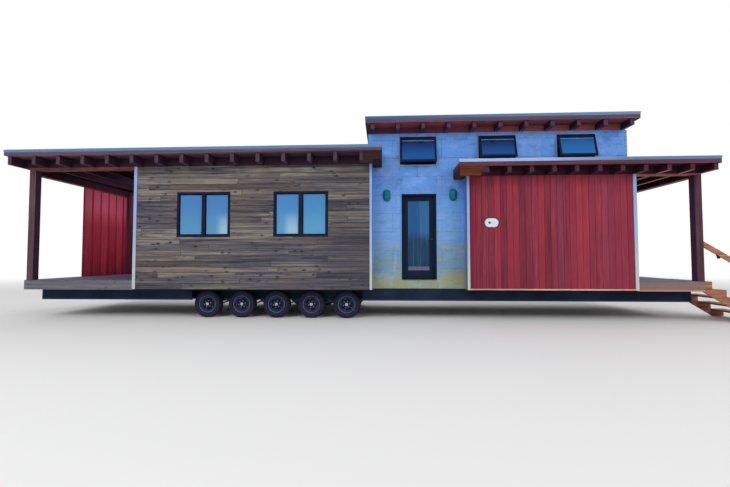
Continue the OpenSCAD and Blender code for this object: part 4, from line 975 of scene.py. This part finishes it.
def end_door_fittings():
    """Trim boards and a knob on each glazed end door."""
    trims, knobs = Pieces(), Pieces()
    w, foot, top, wide = END_DOOR_HALF, DECK_Z + 0.008, DOOR_TOP, 0.07
    knob = [(0.028, -0.001), (0.028, 0.004), (0.010, 0.008), (0.010, 0.030), (0.024, 0.040), (0.026, 0.052),
            (0.018, 0.062), (0.004, 0.065)]
    for x, way in ((X_A, -1), (X_D, 1)):
        for rect in ((-w - wide, -w, foot, top + wide), (w, w + wide, foot, top + wide), (-w, w, top, top + wide)):
            trims.board(face(0, x, way), rect, 0.016, chance.random(), 0.003, back=0.0)
        for side, at in ((way, x - way * 0.040), (-way, x - way * 0.095)):
            knobs.lathe((at, w - 0.08, FLOOR_Z + 1.0), (side, 0, 0), knob, 20)
    trims.make("end_door_trims", TRIM, "pale_trim")
    knobs.make("end_door_knobs", HANDLE, "hinge_steel", smooth=True)


def on_wheel(x, side):
    """A point of a wheel's outer side by its radius, its angle in degrees and how far out it lies."""
    tyre_face = side * (HALF_MID - TYRE_W / 2)

    def place(radius, angle, out):
        a = radians(angle)
        return x + radius * cos(a), tyre_face + side * out, WHEEL_Z + radius * sin(a)
    return place


def wheel_details():
    """Nuts, valve and bright hub cap on each wheel, and the brake drum behind its slots."""
    drum_shape = [(0.087, -0.040), (0.160, -0.040), (0.168, -0.030), (0.168, 0.004), (0.087, 0.004), (0.087, -0.040)]
    nut_shape = [(0.012, 0), (0.012, 0.012), (0.009, 0.018), (0.003, 0.020)]
    cap_shape = [(0.034, 0), (0.034, 0.001), (0.031, 0.003), (0.022, 0.005), (0.006, 0.006)]
    for i, x in enumerate(WHEEL_XS):
        for side, name in ((-1, f"front_{i + 1}"), (1, f"back_{i + 1}")):
            at, axis, body = on_wheel(x, side), (0, side, 0), f"wheel_{name}_body"
            nuts, cap, valve, drum = Pieces(), Pieces(), Pieces(), Pieces()
            drum.lathe(at(0, 0, 0), axis, drum_shape, 32, caps=False)
            drum.make(f"brake_drum_{name}", DRUM, "frame_paint", body)
            for k in range(6):
                nuts.lathe(at(0.082, 60 * k + 15, 0.0675), axis, nut_shape, 6)
            nuts.make(f"wheel_nuts_{name}", NUTS, "hinge_steel", body, smooth=True)
            cap.lathe(at(0, 0, 0.0955), axis, cap_shape, 24)
            cap.make(f"hub_cap_{name}", BRIGHT, "hinge_steel", body, smooth=True)
            valve.tube([at(r, -70, out) for r, out in ((0.186, 0.040), (0.178, 0.062), (0.170, 0.078))], 0.005)
            valve.make(f"valve_{name}", RUBBER, "tyre_rubber", body)


def slot_path(x, y, z, radius, wide, high, count):
    """Closed path round a slot on the front: its middle, the radius of its ends and its straight parts."""
    def pushed(part, straight):
        return radius * part + copysign(straight / 2, part)

    angles = [2 * pi * i / count for i in range(count)]
    return [(x + pushed(cos(a), wide), y, z + pushed(sin(a), high)) for a in angles]


def light_guards():
    """Ring and bowed cross bars of the oval wall lights."""
    bars = Pieces()
    y, ring_r, straight, high, bar_r = -HALF_MID - 0.034, 0.084, 0.117, 0.284, 0.0045
    for x, z in LIGHTS:
        bars.tube(slot_path(x, y, z, ring_r, 0, straight, 40), 0.006, closed=True)
        bars.tube([(x, y - 0.050 * sin(pi * t / 12) ** 0.6, z - high / 2 + high * t / 12)
                   for t in range(13)], bar_r)
        for level in (-0.055, 0.055):
            bars.tube([(x - ring_r + 2 * ring_r * t / 10, y - 0.054 * sin(pi * t / 10) ** 0.6, z + level)
                       for t in range(11)], bar_r)
    bars.make("light_guards", GREEN, "light_green", smooth=True)


def hatch_details():
    """Dark gasket round the hatch, its lock and the faint line of its finger pull."""
    gasket, lock, pull = Pieces(), Pieces(), Pieces()
    gasket.tube(slot_path(HATCH_X, -HALF - 0.010, HATCH_Z, HATCH_H / 2 + 0.004, HATCH_W - HATCH_H, 0, 48), 0.008,
                closed=True)
    gasket.make("hatch_gasket", RUBBER, "tyre_rubber", smooth=True)
    lock.lathe((HATCH_X - 0.052, -HALF - 0.029, HATCH_Z), (0, -1, 0),
               [(0.029, 0), (0.029, 0.004), (0.023, 0.007), (0.006, 0.007)], 24)
    lock.make("hatch_lock", LOCK_GREY, "hinge_steel", smooth=True)
    pull.tube([(HATCH_X + along, -HALF - 0.031, HATCH_Z) for along in (0.012, 0.095)], 0.004)
    pull.make("hatch_pull", PULL_GREY, "white_plastic")


def make_camera():
    """The photo's camera: focal length and width in pixels, its place, and its turns in degrees."""
    focal, picture_width, sensor = 374.4, 730, 36.0
    data = bpy.data.cameras.new("camera")
    data.sensor_width, data.lens, data.clip_end = sensor, focal / picture_width * sensor, 500
    camera = put("camera", data)
    place = Matrix.Translation((X_A + 6.1352, -10.7657, 1.5028))
    for angle, axis in ((2.7862, "Z"), (92.1945, "X"), (-0.0522, "Z")):
        place = place @ Matrix.Rotation(radians(angle), 4, axis)
    camera.matrix_world = place
    bpy.context.scene.camera = camera


def pale_floor():
    """Floor that keeps the shadow of the house and fades to white far away, where the camera sees it."""
    mesh, far = bpy.data.meshes.new("stage_floor"), 150
    mesh.from_pydata([(-far, -far, 0), (far, -far, 0), (far, far, 0), (-far, far, 0)], [], [(0, 1, 2, 3)])
    floor = put("stage_floor", mesh)
    f = Finish("stage_floor", Roughness=0.9, Base_Color=(0.86, 0.86, 0.86, 1.0))
    fade = f.rise((f.x * f.x + f.y * f.y).of("SQRT"), 13.0, 34.0)
    white = f.node("Emission", {}, {"Color": WHITE, "Strength": 1.0})
    seen = f.node("LightPath", out="Is Camera Ray")
    surface = f.node("MixShader", {}, {0: fade * seen, 1: Wire(f, f.shader.outputs[0]), 2: white})
    f.feed(f.tree.nodes["Material Output"].inputs["Surface"], surface)
    mesh.materials.append(f.material)


def surround():
    """Even light from all round, and white where the camera, gloss or glass sees it."""
    world = bpy.data.worlds.new("surround")
    bpy.context.scene.world = world
    world.use_nodes = True
    net = Network(world.node_tree)
    camera, gloss, glass = (net.node("LightPath", out=f"Is {ray} Ray") for ray in ("Camera", "Glossy", "Transmission"))
    seen = camera.of("MAXIMUM", gloss).of("MAXIMUM", glass)
    shade = net.tree.nodes["Background"]
    net.feed(shade.inputs["Color"], WHITE)
    net.feed(shade.inputs["Strength"], seen * 0.42 + 0.58)


def soft_lamps():
    """Three large lamps round the house, and one that keeps the porch screen out of the dark."""
    house = (0, 0, 1.5)
    for name, place, aim, size, power, spread in (
            ("key", (-9, -16, 13), house, 9.0, 1500, 180), ("fill", (13, -14, 9), house, 8.0, 800, 180),
            ("rear", (0, 16, 12), house, 9.0, 900, 180),
            ("porch", (-6.4, 0.8, 2.7), (-8.6, 0.7, 2.5), 1.8, 24, 110)):
        lamp = bpy.data.lights.new(name, "AREA")
        lamp.size, lamp.energy, lamp.spread = size, power, radians(spread)
        obj = put(name, lamp)
        obj.location = place
        obj.rotation_euler = (Vector(aim) - Vector(place)).to_track_quat("-Z", "Y").to_euler()
        obj.visible_camera = obj.visible_glossy = False


dress_nodes()
siding()
red_cladding()
screen_boards()
wall_sheets()
wall_flashing()
roof_ribs()
soffits()
ear_facings()
roof_edges()
deck_boards()
glazing_strips()
end_door_fittings()
wheel_details()
light_guards()
hatch_details()
make_camera()
pale_floor()
surround()
soft_lamps()
bpy.context.scene.view_settings.view_transform = "Standard"
